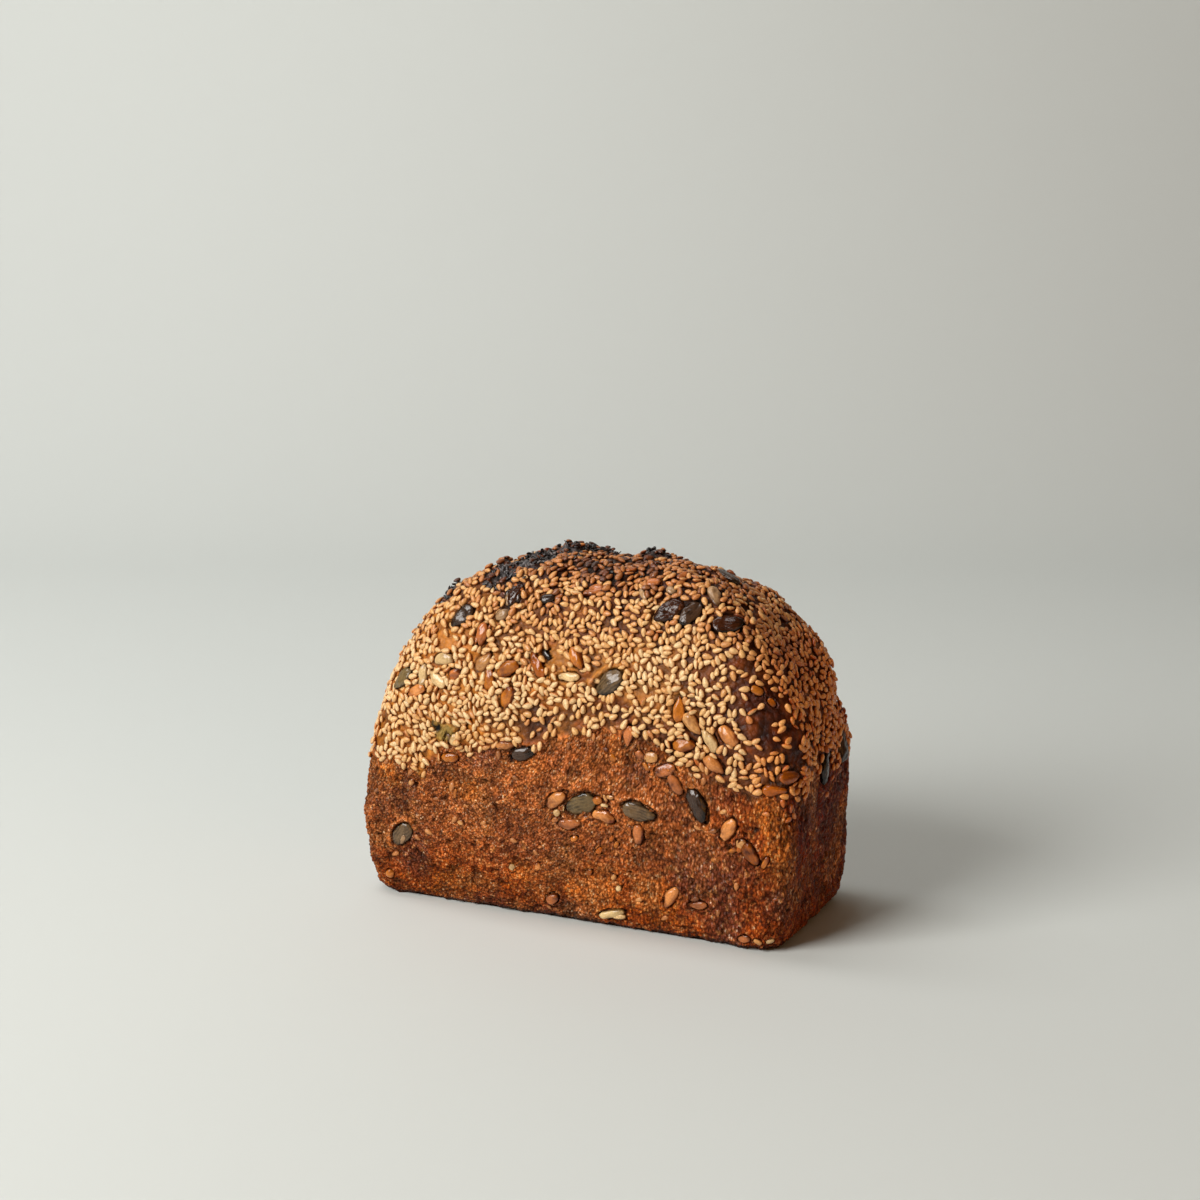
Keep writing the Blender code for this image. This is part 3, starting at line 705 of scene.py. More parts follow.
def seed_body(around, stations, profile, flatness):
    """A unit seed lying along X: points, triangles and how far each point lies from the top's middle."""
    rows = [(-0.5, 0.0, 0.0, 0.6)]
    for t in stations:
        breadth = profile(t)
        for side in range(around):
            angle = 2 * math.pi * side / around + math.pi / 2
            c, s = math.cos(angle), math.sin(angle)
            y = 0.5 * breadth * math.copysign(abs(c) ** flatness, c)
            z = 0.5 * breadth**0.7 * math.copysign(abs(s) ** flatness, s)
            rows.append((t - 0.5, y, z, 1 - max(s, 0.0)))
    rows.append((0.5, 0.0, 0.0, 1.0))
    last = len(rows) - 1
    triangles = []
    for side in range(around):
        after = (side + 1) % around
        triangles.append((0, 1 + after, 1 + side))
        start = 1 + (len(stations) - 1) * around
        triangles.append((last, start + side, start + after))
        for step in range(len(stations) - 1):
            a = 1 + step * around
            b = a + around
            triangles.append((a + side, a + after, b + after))
            triangles.append((a + side, b + after, b + side))
    body = np.array(rows)
    return body[:, :3], np.array(triangles), body[:, 3]


def teardrop(t):
    """Breadth of a seed along its length: blunt at 0, pointed at 1."""
    return 2.21 * t**0.45 * (1 - t) ** 0.75


def oval(t):
    """Breadth of a pumpkin kernel along its length, with a short point at 1."""
    return 2.13 * t**0.48 * (1 - t) ** 0.62


def bean(t):
    """Breadth of a plump hulled kernel, blunt at both ends."""
    return 1.61 * t**0.33 * (1 - t) ** 0.36


def lay_seeds(body, centres, bases, sizes):
    """The points of many seeds of one body: bases has each seed's length, width and height directions."""
    scaled = body[None, :, :] * sizes[:, None, :]
    return centres[:, None, :] + np.einsum("nvk,nkc->nvc", scaled, bases)


def surface_picks(points, faces, count, draws):
    """Random points of the crust, evenly by area."""
    corners = points[faces]
    areas = np.linalg.norm(np.cross(corners[:, 1] - corners[:, 0], corners[:, 2] - corners[:, 0]), axis=1)
    picks = draws.choice(len(faces), count, p=areas / areas.sum())
    shares = draws.dirichlet((1, 1, 1), count)
    return np.einsum("nk,nkc->nc", shares, corners[picks])


def seed_share(points):
    """How closely the sesame lies at each point, from none to packed."""
    line = seed_line(points)
    share = eased(points[:, 2], line - 0.0025, line + 0.0035)
    share = share * (1 - 0.93 * near_spots(points, BARE_SPOTS))
    share = share * (1 - 0.93 * near_spots(points, CHAR_SPOTS))
    return share * (1 - 0.5 * eased(points[:, 2], 0.129, 0.134))


# Where packed seeds fell off again, and the share that did; and the share that stuck elsewhere
THINNED_SPOTS = ((BARE_SPOTS, 0.45), (CHAR_SPOTS, 0.6), (RIDGE_SPOTS, 0.5))
STUCK_SHARE = 0.985


def seeds_that_stuck(points, draws):
    """Which packed seeds are kept: fewer near the seed line, on bare dough and in scattered patches."""
    above = eased(points[:, 2], seed_line(points), seed_line(points) + 0.010)
    chance = (0.72 + 0.28 * above) * (1 - 0.10 * eased(soft_noise(points, 0.007, 63), 0.0, 0.8))
    for spots, share in THINNED_SPOTS:
        chance = chance * (1 - share * near_spots(points, spots))
    return draws.random(len(points)) < STUCK_SHARE * chance


def tangent_basis(normals, lies):
    """Length, width and height directions of seeds, from outward directions and lies."""
    along = unit(lies - normals * (lies * normals).sum(axis=1)[:, None])
    return np.stack([along, np.cross(normals, along), normals], axis=1)


def tipped(bases, roll, pitch):
    """Bases turned about their own length by roll, and about their width by pitch."""
    along, across, up = bases[:, 0], bases[:, 1], bases[:, 2]
    cr, sr = np.cos(roll)[:, None], np.sin(roll)[:, None]
    across, up = across * cr + up * sr, up * cr - across * sr
    cp, sp = np.cos(pitch)[:, None], np.sin(pitch)[:, None]
    along, up = along * cp + up * sp, up * cp - along * sp
    return np.stack([along, across, up], axis=1)


# The three discs that stand for a seed: places along its length, sizes in shares of its width
DISC_PLACES = np.array((-0.30, -0.02, 0.27))
DISC_SIZES = np.array((0.40, 0.50, 0.33))
KERNEL_DISCS = ((-0.30, 0.36), (0.0, 0.46), (0.28, 0.30))
PACKING_BOX = SESAME[0] * 1.4
SKEW = (0.31, 0.27, 0.91)  # a direction that hardly any part of the crust faces


def packed_seeds(candidates, normals, angles, sizes, taken):
    """Keeps the candidates that lie clear of those kept before them. Each is tested as three discs."""
    boxes = {}
    for centre, radius in taken:
        boxes.setdefault(tuple(np.floor(centre / PACKING_BOX).astype(int)), []).append((centre, radius))
    side = unit(np.cross(normals, SKEW))
    other = np.cross(normals, side)
    kept = []
    shifts = list(itertools.product((-1, 0, 1), repeat=3))
    for index, place in enumerate(candidates):
        key = np.floor(place / PACKING_BOX).astype(int)
        beside = [(key[0] + dx, key[1] + dy, key[2] + dz) for dx, dy, dz in shifts]
        around = [disc for box in beside for disc in boxes.get(box, ())]
        if around:
            centres = np.array([disc[0] for disc in around])
            radii = np.array([disc[1] for disc in around])
        for angle in angles[index]:
            along = side[index] * math.cos(angle) + other[index] * math.sin(angle)
            discs = place + along * (DISC_PLACES * sizes[index, 0])[:, None]
            reach = DISC_SIZES * sizes[index, 1] * SESAME_SHRINK
            if around:
                gaps = np.linalg.norm(discs[:, None] - centres[None], axis=2)
                if (gaps < reach[:, None] + radii[None]).any():
                    continue
            kept.append((index, along))
            boxes.setdefault(tuple(key), []).extend(zip(discs, reach))
            break
    return np.array([k for k, _ in kept]), np.array([a for _, a in kept])


# Tones of the larger kernels: lighter body, darker rim and streaks; the rim's dark is partly painted shade
PUMPKIN_TONES = {
    "green": (srgb(0.50, 0.41, 0.26), srgb(0.10, 0.07, 0.02)),
    "grey": (srgb(0.48, 0.38, 0.26), srgb(0.11, 0.07, 0.03)),
    "black": (srgb(0.30, 0.21, 0.15), srgb(0.04, 0.025, 0.015)),
    "brown": (srgb(0.26, 0.12, 0.04), srgb(0.04, 0.02, 0.01)),
}
SUNFLOWER_TONES = {
    "tan": (srgb(0.88, 0.64, 0.38), srgb(0.48, 0.22, 0.06)),
    "orange": (srgb(0.78, 0.46, 0.15), srgb(0.40, 0.15, 0.02)),
    "amber": (srgb(0.68, 0.35, 0.06), srgb(0.28, 0.09, 0.005)),
    "pale": (srgb(0.90, 0.76, 0.54), srgb(0.52, 0.33, 0.13)),
    "brown": (srgb(0.78, 0.46, 0.24), srgb(0.28, 0.10, 0.03)),
    "salmon": (srgb(0.88, 0.57, 0.30), srgb(0.42, 0.17, 0.05)),
    "grey": (srgb(0.72, 0.57, 0.41), srgb(0.28, 0.16, 0.09)),
    "husk": (srgb(0.90, 0.78, 0.55), srgb(0.40, 0.28, 0.12)),
    "char": (srgb(0.22, 0.15, 0.11), srgb(0.05, 0.03, 0.02)),
}
RARE_TONES = ("husk", "char")  # only on kernels that show
FLAKE_TONES = (
    (srgb(0.42, 0.38, 0.37), srgb(0.07, 0.06, 0.06)), (srgb(0.20, 0.18, 0.18), srgb(0.05, 0.05, 0.05)),
    (srgb(0.26, 0.24, 0.24), srgb(0.06, 0.05, 0.05)), (srgb(0.48, 0.26, 0.15), srgb(0.14, 0.07, 0.04)),
)

# Sesame from cream to char: how dark each stop is, and the colours of seeds' middles and rims there
BROWNING_STOPS = (0.0, 0.28, 0.52, 0.78, 1.05)
SESAME_MIDDLES = (
    (0.89, 0.77, 0.57), (0.86, 0.67, 0.42), (0.78, 0.51, 0.28), (0.42, 0.22, 0.11), (0.13, 0.09, 0.07),
)
SESAME_RIMS = (
    (0.76, 0.43, 0.12), (0.66, 0.32, 0.08), (0.44, 0.18, 0.05), (0.18, 0.07, 0.03), (0.06, 0.04, 0.035),
)
# Warmer at the right end: partly browner baking, partly painted warm bounce light in the end's shade
END_WARMTH = (1.0, 0.66, 0.36)
GOLDEN_FROM = 0.26
TOASTED_FROM = 0.52

# Rows of points along one kernel or seed of each kind
PUMPKIN_ROWS = (
    0.01, 0.04, 0.08, 0.13, 0.19, 0.26, 0.33, 0.40, 0.48, 0.56, 0.64, 0.71, 0.78, 0.84, 0.89, 0.93, 0.97,
)
KERNEL_ROWS = (0.015, 0.06, 0.13, 0.22, 0.32, 0.43, 0.54, 0.65, 0.75, 0.84, 0.91, 0.96)
BIT_ROWS = (0.04, 0.16, 0.34, 0.55, 0.76, 0.92)
FLAKE_ROWS = (0.08, 0.3, 0.6, 0.88)
SESAME_ROWS = (0.05, 0.22, 0.45, 0.70, 0.90)

# How wrinkled each kind is, in shares of its thickness, and the range of its brightness
PUMPKIN_LOOKS = (0.017, (0.62, 0.86))
SUNFLOWER_LOOKS = (0.008, (0.68, 0.94))
BIT_LOOKS = (0.010, (0.72, 1.0))
FLAKE_LOOKS = (0.03, (0.85, 1.1))
BIT_SUNK_SHARE = 0.35

# Larger kernels that show, as on the solid: pixels across and down, turn in degrees, scale, tone
SHOWN_PUMPKINS = (
    (404, 679, 50, 0.86, "green"), (463, 617, 40, 0.88, "black"), (610, 683, 38, 1.0, "grey"),
    (669, 611, 30, 0.95, "brown"), (691, 614, 50, 0.88, "black"), (728, 625, 5, 0.92, "brown"),
    (581, 804, 20, 0.98, "green"), (640, 811, -20, 1.0, "grey"), (698, 806, -65, 1.0, "black"),
    (402, 834, 50, 0.82, "grey"), (725, 580, -35, 0.95, "black"), (840, 748, 85, 0.9, "black"),
    (824, 768, 86, 0.9, "black"), (524, 753, 10, 0.7, "black"),
    (517, 596, 60, 0.7, "brown"),
)
SHOWN_SUNFLOWERS = (
    (485, 662, 50, 1.0, "tan"), (509, 669, 30, 1.05, "orange"), (538, 665, -65, 1.15, "amber"),
    (578, 659, -60, 1.0, "orange"), (570, 677, 0, 0.85, "pale"), (425, 677, 85, 1.0, "pale"),
    (439, 679, -45, 1.0, "pale"), (418, 691, 20, 0.95, "salmon"), (446, 659, 0, 0.9, "pale"),
    (491, 679, 88, 0.85, "orange"), (509, 697, 65, 0.95, "orange"), (680, 709, 88, 1.0, "orange"),
    (693, 724, -50, 0.95, "tan"), (685, 745, 0, 1.0, "orange"), (710, 740, -60, 1.0, "pale"),
    (729, 736, -50, 1.0, "salmon"), (629, 736, 80, 0.9, "brown"), (715, 765, -40, 1.0, "salmon"),
    (789, 777, 10, 1.1, "amber"), (666, 770, 15, 0.95, "brown"), (676, 784, -60, 0.9, "brown"),
    (557, 799, 35, 1.1, "salmon"), (605, 816, -20, 1.0, "salmon"), (571, 823, 0, 1.0, "brown"),
    (729, 829, 60, 0.95, "salmon"), (751, 853, -60, 1.0, "amber"), (671, 897, 60, 0.95, "salmon"),
    (507, 745, 0, 0.8, "salmon"), (451, 757, 0, 0.8, "orange"), (714, 600, -75, 1.0, "grey"),
    (483, 635, 80, 1.0, "brown"), (595, 593, 15, 0.9, "brown"), (775, 790, 0, 0.9, "amber"),
    (639, 834, 85, 0.9, "brown"), (698, 905, 0, 0.8, "brown"), (504, 615, 30, 0.75, "grey"),
)

# Smaller bits that show: pixels across and down, turn in degrees, length, width and height in mm, tone
SHOWN_BITS = (
    (413, 638, 52, 13.0, 2.2, 1.6, "grey"), (457, 674, 20, 5.5, 4.6, 2.6, "brown"),
    (558, 812, 40, 3.0, 2.8, 1.6, "pale"), (564, 808, 85, 2.8, 0.9, 1.0, "pale"),
    (556, 819, 10, 2.8, 2.2, 1.5, "salmon"), (582, 815, 50, 3.2, 1.6, 1.4, "orange"),
    (586, 818, 20, 3.4, 2.6, 1.5, "amber"), (598, 800, 10, 4.2, 3.2, 1.8, "orange"),
    (606, 798, -70, 3.2, 1.5, 1.2, "tan"), (611, 797, -5, 3.4, 1.7, 1.2, "tan"),
    (605, 805, -5, 3.2, 1.6, 1.2, "pale"), (521, 590, -40, 5.0, 2.2, 1.8, "brown"),
    (509, 600, 80, 5.0, 2.4, 1.8, "grey"), (478, 637, 75, 7.0, 1.4, 1.4, "brown"),
    (488, 632, 68, 8.0, 1.5, 1.5, "brown"), (598, 589, 10, 6.5, 3.0, 2.0, "brown"),
    (644, 596, -60, 6.0, 2.2, 2.0, "grey"), (655, 585, 5, 5.5, 3.4, 2.0, "brown"),
    (672, 592, -30, 4.5, 3.0, 2.0, "grey"), (632, 573, 10, 4.5, 2.6, 1.8, "amber"),
    (391, 873, 60, 4.5, 3.6, 2.4, "orange"), (613, 758, -70, 3.6, 2.6, 1.6, "orange"),
    (641, 755, -60, 4.2, 3.2, 1.8, "brown"), (652, 757, 0, 5.6, 4.4, 1.8, "tan"),
    (647, 767, -60, 4.2, 2.0, 1.6, "orange"), (693, 786, 5, 3.2, 1.8, 1.4, "orange"),
    (742, 843, 10, 4.4, 3.8, 1.6, "tan"), (733, 850, 30, 3.6, 2.2, 1.4, "orange"),
    (740, 848, 75, 3.4, 2.0, 1.4, "amber"), (766, 862, 65, 5.2, 2.2, 1.6, "orange"),
    (770, 940, 20, 3.2, 2.0, 1.6, "pale"), (758, 941, -40, 3.4, 2.2, 1.6, "tan"),
    (745, 938, 10, 5.0, 3.2, 2.0, "brown"), (513, 866, 60, 2.6, 2.2, 1.6, "pale"),
    (538, 866, 80, 3.0, 2.4, 1.6, "salmon"), (614, 877, 60, 2.6, 2.4, 1.6, "tan"),
    (619, 888, 30, 2.8, 2.4, 1.6, "pale"), (553, 898, 20, 5.5, 4.0, 2.2, "brown"),
    (461, 822, 10, 2.8, 2.4, 1.4, "tan"), (412, 782, 50, 3.0, 2.4, 1.2, "tan"),
    (456, 793, 85, 4.2, 1.6, 1.4, "orange"), (522, 640, 20, 3.0, 2.0, 1.4, "tan"),
    (556, 790, 0, 2.6, 1.6, 1.2, "orange"), (641, 815, 30, 2.4, 1.4, 1.0, "pale"),
    (630, 828, 80, 2.8, 1.8, 1.2, "amber"), (575, 838, 20, 3.2, 2.2, 1.4, "orange"),
    (612, 838, 60, 3.0, 2.0, 1.3, "amber"), (617, 844, 70, 2.8, 1.8, 1.2, "orange"),
    (600, 850, 45, 3.4, 2.2, 1.4, "amber"), (590, 872, 60, 2.8, 2.0, 1.4, "amber"),
    (613, 913, 6, 11.0, 3.2, 3.0, "husk"), (620, 916, -4, 6.0, 2.4, 2.6, "pale"),
    (547, 655, -50, 4.5, 2.4, 2.0, "char"), (508, 595, 60, 4.6, 2.6, 2.4, "char"),
    (521, 597, 80, 6.0, 2.6, 2.4, "char"), (550, 600, 10, 5.5, 3.6, 2.2, "char"),
    (560, 598, 30, 4.0, 2.6, 2.0, "brown"), (455, 739, 70, 5.0, 3.4, 2.0, "pale"),
    (449, 738, 80, 4.0, 2.4, 1.6, "grey"), (757, 691, -20, 5.0, 3.4, 1.6, "orange"),
    (771, 703, -50, 4.0, 2.6, 1.4, "amber"), (683, 580, 30, 5.5, 3.0, 1.8, "brown"),
    (445, 659, 0, 4.2, 3.4, 2.2, "grey"), (404, 838, 60, 5.0, 2.6, 2.4, "grey"),
)


def shown_seeds(rows):
    """Places, outward directions and lengthwise directions of seeds that show at pixels of the photo."""
    places, normals, rays = sighted([row[:2] for row in rows])
    right, up, _ = camera_axes()
    angles = np.radians([row[2] for row in rows])
    lies = right * np.cos(angles)[:, None] + up * np.sin(angles)[:, None]
    facing = np.minimum((rays * normals).sum(axis=1), -0.25)
    lies = lies - rays * ((lies * normals).sum(axis=1) / facing)[:, None]
    return places, normals, lies


def surface_draws(draws, count):
    """Random points about even over the smooth walls and top, and the outward directions there."""
    places = draws.uniform((-1.0, -1.0, 0.0), (1.0, 1.0, 1.0), (count, 3))
    sides = draws.choice(len(BOX_SIDES), count, p=BOX_SHARES)
    for side, (axis, share) in enumerate(BOX_SIDES):
        places[sides == side, axis] = share
    points = cast(places)
    return points, form_normals(points)


def lies_on(normals, turns):
    """Directions along the crust, turned from level by an angle each."""
    level = np.cross((0.0, 0.0, 1.0), normals)
    side = np.where(np.abs(normals[:, 2:]) < STEEP, level, (1.0, 0.0, 0.0))
    return side * np.cos(turns)[:, None] + np.cross(side, normals) * np.sin(turns)[:, None]


def hidden_kernels():
    """The kernels of each kind that the solid's rule spreads: places, normals, lies and scales."""
    draws = np.random.default_rng(SPREAD_SEED)
    had = []
    kinds = []
    for size, count, spacing in SPREAD_KERNELS:
        points, normals = surface_draws(draws, count * TRIES_PER_SEED)
        turns = draws.uniform(0, math.pi, len(points))
        scales = draws.uniform(*SPREAD_SCALES, len(points))
        chances = draws.random(len(points))
        height = points[:, 2]
        on_skin = (height > plain_seed_line(points[:, 0])) & (height < SEED_TOP)
        on_wall = (height > WALL_SEEDS_START) & (height < SEED_TOP) & (chances < BARER_WALL)
        sights = np.array(CAMERA_PLACE) - points
        facing = (normals * unit(sights)).sum(axis=1)
        found = []
        for index in np.flatnonzero((on_skin | on_wall) & (facing < HIDDEN)):
            gaps = np.linalg.norm(points[found] - points[index], axis=1)
            reach = size[0] / 2 + SEED_GAP
            clear = all(np.linalg.norm(points[index] - other) > reach + length / 2 for other, length in had)
            if clear and (gaps > spacing).all() and len(found) < count:
                found.append(index)
        had += [(points[index], size[0]) for index in found]
        places = points[found] + normals[found] * relief(points[found])[:, None]
        kinds.append((places, normals[found], lies_on(normals[found], turns[found]), scales[found]))
    return kinds


def streaks(body, phase):
    """Lengthwise wrinkles of a kernel, from -1 to 1, that wander along it."""
    wander = 1.1 * np.sin(body[:, 0] * 7 + phase) + 0.5 * np.sin(body[:, 0] * 17 + 2 * phase)
    return np.sin(body[:, 1] * 38 + wander) * np.clip(1.3 - 2 * np.abs(body[:, 0]), 0, 1)


def kernel_arrays(body, placed, tones, wrinkle, shades, draws):
    """Points, triangles and colours of kernels of one body, each a little lumpy and wrinkled."""
    unit_points, triangles, rim = body
    centres, bases, sizes = placed
    count = len(centres)
    outward = unit(unit_points * (0.3, 1.0, 1.6))
    phases = draws.uniform(0, 7, count)
    marks = np.array([streaks(unit_points, phase) for phase in phases])
    points = lay_seeds(unit_points, centres, bases, sizes)
    facings = np.einsum("vk,nkc->nvc", outward, bases)
    flat = points.reshape(-1, 3)
    lumpy = 0.12 * soft_noise(flat, 0.0030, 81) + 0.06 * soft_noise(flat, 0.0011, 82)
    rise = lumpy.reshape(count, -1) * sizes[:, 2:] + wrinkle * marks * sizes[:, 2:]
    points = points + facings * rise[:, :, None]
    light = np.array([tone[0] for tone in tones])[:, None, :]
    dark = np.array([tone[1] for tone in tones])[:, None, :]
    blotch = soft_noise(flat, 0.0022, 83) + 0.5 * soft_noise(flat, 0.0008, 84)
    tip = np.clip(unit_points[:, 0] + 0.15, 0, 1) ** 2
    # Darker towards the rim and underside: partly the kernel's own darker edge, partly painted shade
    share = 0.10 + 0.85 * eased(rim, 0.15, 0.85)[None, :] + 20 * wrinkle * marks + 1.4 * tip[None, :]
    share = share + 0.35 * blotch.reshape(count, -1) + 0.05 * draws.normal(size=(count, len(rim)))
    glow = draws.uniform(*shades, (count, 1, 1))
    return points.reshape(-1, 3), triangles, (mix(light, dark, share) * glow).reshape(-1, 3)


def seeds_object(name, batches):
    """One object from batches of seeds, each with its points, one seed's triangles and its colours."""
    points = []
    faces = []
    tints = []
    offset = 0
    for batch_points, triangles, batch_tints in batches:
        size = triangles.max() + 1
        starts = offset + np.arange(0, len(batch_points), size)
        points.append(batch_points)
        faces.append((triangles[None] + starts[:, None, None]).reshape(-1, 3))
        tints.append(batch_tints)
        offset += len(batch_points)
    return mesh_object(name, np.concatenate(points), np.concatenate(faces), np.concatenate(tints))


def settled(places, normals, lies, sizes, sunk, draws):
    """Centres, bases and sizes of seeds laid on the crust with a share of their height sunk in it."""
    count = len(places)
    bases = tipped(tangent_basis(normals, lies), draws.normal(0, 0.14, count), draws.normal(0, 0.08, count))
    return places + normals * (sizes[:, 2] * (0.5 - sunk))[:, None], bases, sizes


def kernel_sinking(places):
    """Share of its height by which each kernel is sunk: deeper below the seed line."""
    return 0.42 - 0.08 * eased(places[:, 2], seed_line(places) - 0.004, seed_line(places) + 0.004)


def laid_kernels(rows, size, tones, hidden, draws):
    """Tones, and centres, bases and sizes, of a kind's kernels: those that show, then the hidden ones."""
    shown = shown_seeds(rows)
    names = [row[4] for row in rows]
    names += list(draws.choice([key for key in tones if key not in RARE_TONES], len(hidden[0])))
    places, normals, lies = (np.concatenate(pair) for pair in zip(shown, hidden[:3]))
    lies = lies * draws.choice((-1, 1), len(lies))[:, None]
    scales = np.concatenate([[row[3] for row in rows], hidden[3]])
    sizes = np.array(size) * scales[:, None] * draws.normal(1, (0.04, 0.09, 0.09), (len(scales), 3))
    placed = settled(places, normals, lies, sizes, kernel_sinking(places), draws)
    return [tones[name] for name in names], placed


def build_kernels(draws):
    """The kernels and the smaller bits, as objects and as centres, bases and sizes."""
    pumpkin_rows, sunflower_rows = hidden_kernels()
    pumpkin = seed_body(48, PUMPKIN_ROWS, oval, 0.85)
    pointed = seed_body(28, KERNEL_ROWS, teardrop, 0.9)
    blunt = seed_body(28, KERNEL_ROWS, bean, 0.85)
    pumpkins = (SHOWN_PUMPKINS, PUMPKIN, PUMPKIN_TONES, pumpkin_rows)
    sunflowers = (SHOWN_SUNFLOWERS, SUNFLOWER, SUNFLOWER_TONES, sunflower_rows)
    plans = (
        ("pumpkin_kernels", pumpkins, PUMPKIN_LOOKS, (pumpkin,)),
        ("sunflower_kernels", sunflowers, SUNFLOWER_LOOKS, (pointed, blunt, pointed)),
    )
    made = []
    laid = []
    for name, kind, looks, shapes in plans:
        tones, placed = laid_kernels(*kind, draws)
        laid.append(placed)
        drawn = draws.integers(0, len(shapes), len(tones))
        batches = []
        for number, shape in enumerate(shapes):
            chosen = np.flatnonzero(drawn == number)
            some = [part[chosen] for part in placed]
            batches.append(kernel_arrays(shape, some, [tones[k] for k in chosen], *looks, draws))
        made.append(seeds_object(name, batches))

    places, normals, lies = shown_seeds(SHOWN_BITS)
    sizes = np.array([row[3:6] for row in SHOWN_BITS]) / 1000
    placed = settled(places, normals, lies, sizes, BIT_SUNK_SHARE, draws)
    laid.append(placed)
    tones = [SUNFLOWER_TONES[row[6]] for row in SHOWN_BITS]
    body = seed_body(14, BIT_ROWS, bean, 0.7)
    made.append(seeds_object("kernel_bits", [kernel_arrays(body, placed, tones, *BIT_LOOKS, draws)]))
    return made, [np.concatenate(parts) for parts in zip(*laid)]


def sunk_seeds(points, faces, taken, draws):
    """Sesame baked into the wall: most just below the seed line, browned and half sunk."""
    picks = surface_picks(points, faces, SUNK_TRIES, draws)
    below = seed_line(picks) - picks[:, 2]
    chance = 0.16 * (1 - eased(below, 0.001, 0.012)) + 0.022
    fit = (below > 0.0005) & (picks[:, 2] > 0.003) & (draws.random(len(picks)) < chance)
    picks = picks[fit]
    normals = form_normals(picks)
    sizes = np.array(SESAME) * draws.normal(0.95, 0.08, (len(picks), 1)) * np.ones(3)
    angles = draws.uniform(0, math.pi, (len(picks), 4))
    kept, along = packed_seeds(picks, normals, angles, sizes, taken)
    return settled(picks[kept], normals[kept], along, sizes[kept], SUNK_SHARE, draws)


def char_flakes(points, faces, draws):
    """Thin curled scraps of burnt skin that stand up along the crown."""
    picks = surface_picks(points, faces, FLAKE_TRIES, draws)
    strength = near_spots(picks, CHAR_SPOTS) + 0.12 * eased(picks[:, 2], 0.129, 0.135)
    picks = picks[draws.random(len(picks)) < FLAKE_SHARE * strength]
    normals = form_normals(picks)
    count = len(picks)
    sizes = np.array(FLAKE) * draws.uniform(0.4, 1.4, (count, 3))
    lies = lies_on(normals, draws.uniform(0, 2 * math.pi, count))
    bases = tipped(tangent_basis(normals, lies), draws.normal(0, 0.6, count), draws.normal(0, 0.45, count))
    placed = (picks + normals * draws.uniform(0.0001, 0.0008, (count, 1)), bases, sizes)
    some = [FLAKE_TONES[k] for k in draws.integers(0, len(FLAKE_TONES), count)]
    body = seed_body(8, FLAKE_ROWS, bean, 0.8)
    return seeds_object("char_flakes", [kernel_arrays(body, placed, some, *FLAKE_LOOKS, draws)])


def discs_of(centres, bases, sizes):
    """The discs that stand for laid kernels when sesame is packed round them."""
    found = []
    for centre, basis, size in zip(centres, bases, sizes):
        for place, breadth in KERNEL_DISCS:
            found.append((centre + basis[0] * place * size[0], breadth * size[1]))
    return found


def scatter_sesame(points, faces, taken, draws):
    """Sesame over the dome: places, outward directions, lengthwise directions and sizes."""
    candidates = surface_picks(points, faces, SESAME_TRIES, draws)
    candidates = candidates[candidates[:, 2] > SESAME_START]
    candidates = candidates[draws.random(len(candidates)) < seed_share(candidates)]
    normals = form_normals(candidates)
    count = len(candidates)
    sizes = np.array(SESAME) * draws.normal(1, 0.09, (count, 1)) * draws.normal(1, 0.06, (count, 3))
    swirl = 2.2 * soft_noise(candidates, 0.012, 71)[:, None]
    angles = swirl + draws.normal(0, 0.6, (count, 1)) + TURNS_TRIED + draws.uniform(-0.3, 0.3, (count, 4))
    kept, along = packed_seeds(candidates, normals, angles, sizes, taken)
    stuck = seeds_that_stuck(candidates[kept], draws)
    kept = kept[stuck]
    return candidates[kept], normals[kept], along[stuck], sizes[kept]


def between_stops(tone, colours):
    """Colours by tone, between those that the browning stops have."""
    channels = np.array([srgb(*colour) for colour in colours]).T
    return np.stack([np.interp(tone, BROWNING_STOPS, channel) for channel in channels], axis=-1)


def sesame_colours(places, tone, rim, draws):
    """Colours of seeds by tone, with pale middles and browner rims, and warmer at the right end."""
    inner = between_stops(tone, SESAME_MIDDLES)[:, None, :]
    outer = between_stops(tone, SESAME_RIMS)[:, None, :]
    share = eased(rim, 0.08, 0.90)[None, :] * draws.uniform(0.6, 1.25, (len(tone), 1))
    warmer = mix(np.ones((len(tone), 3)), np.array(END_WARMTH), eased(places[:, 0], 0.066, 0.086))
    return mix(inner, outer, share) * warmer[:, None, :]


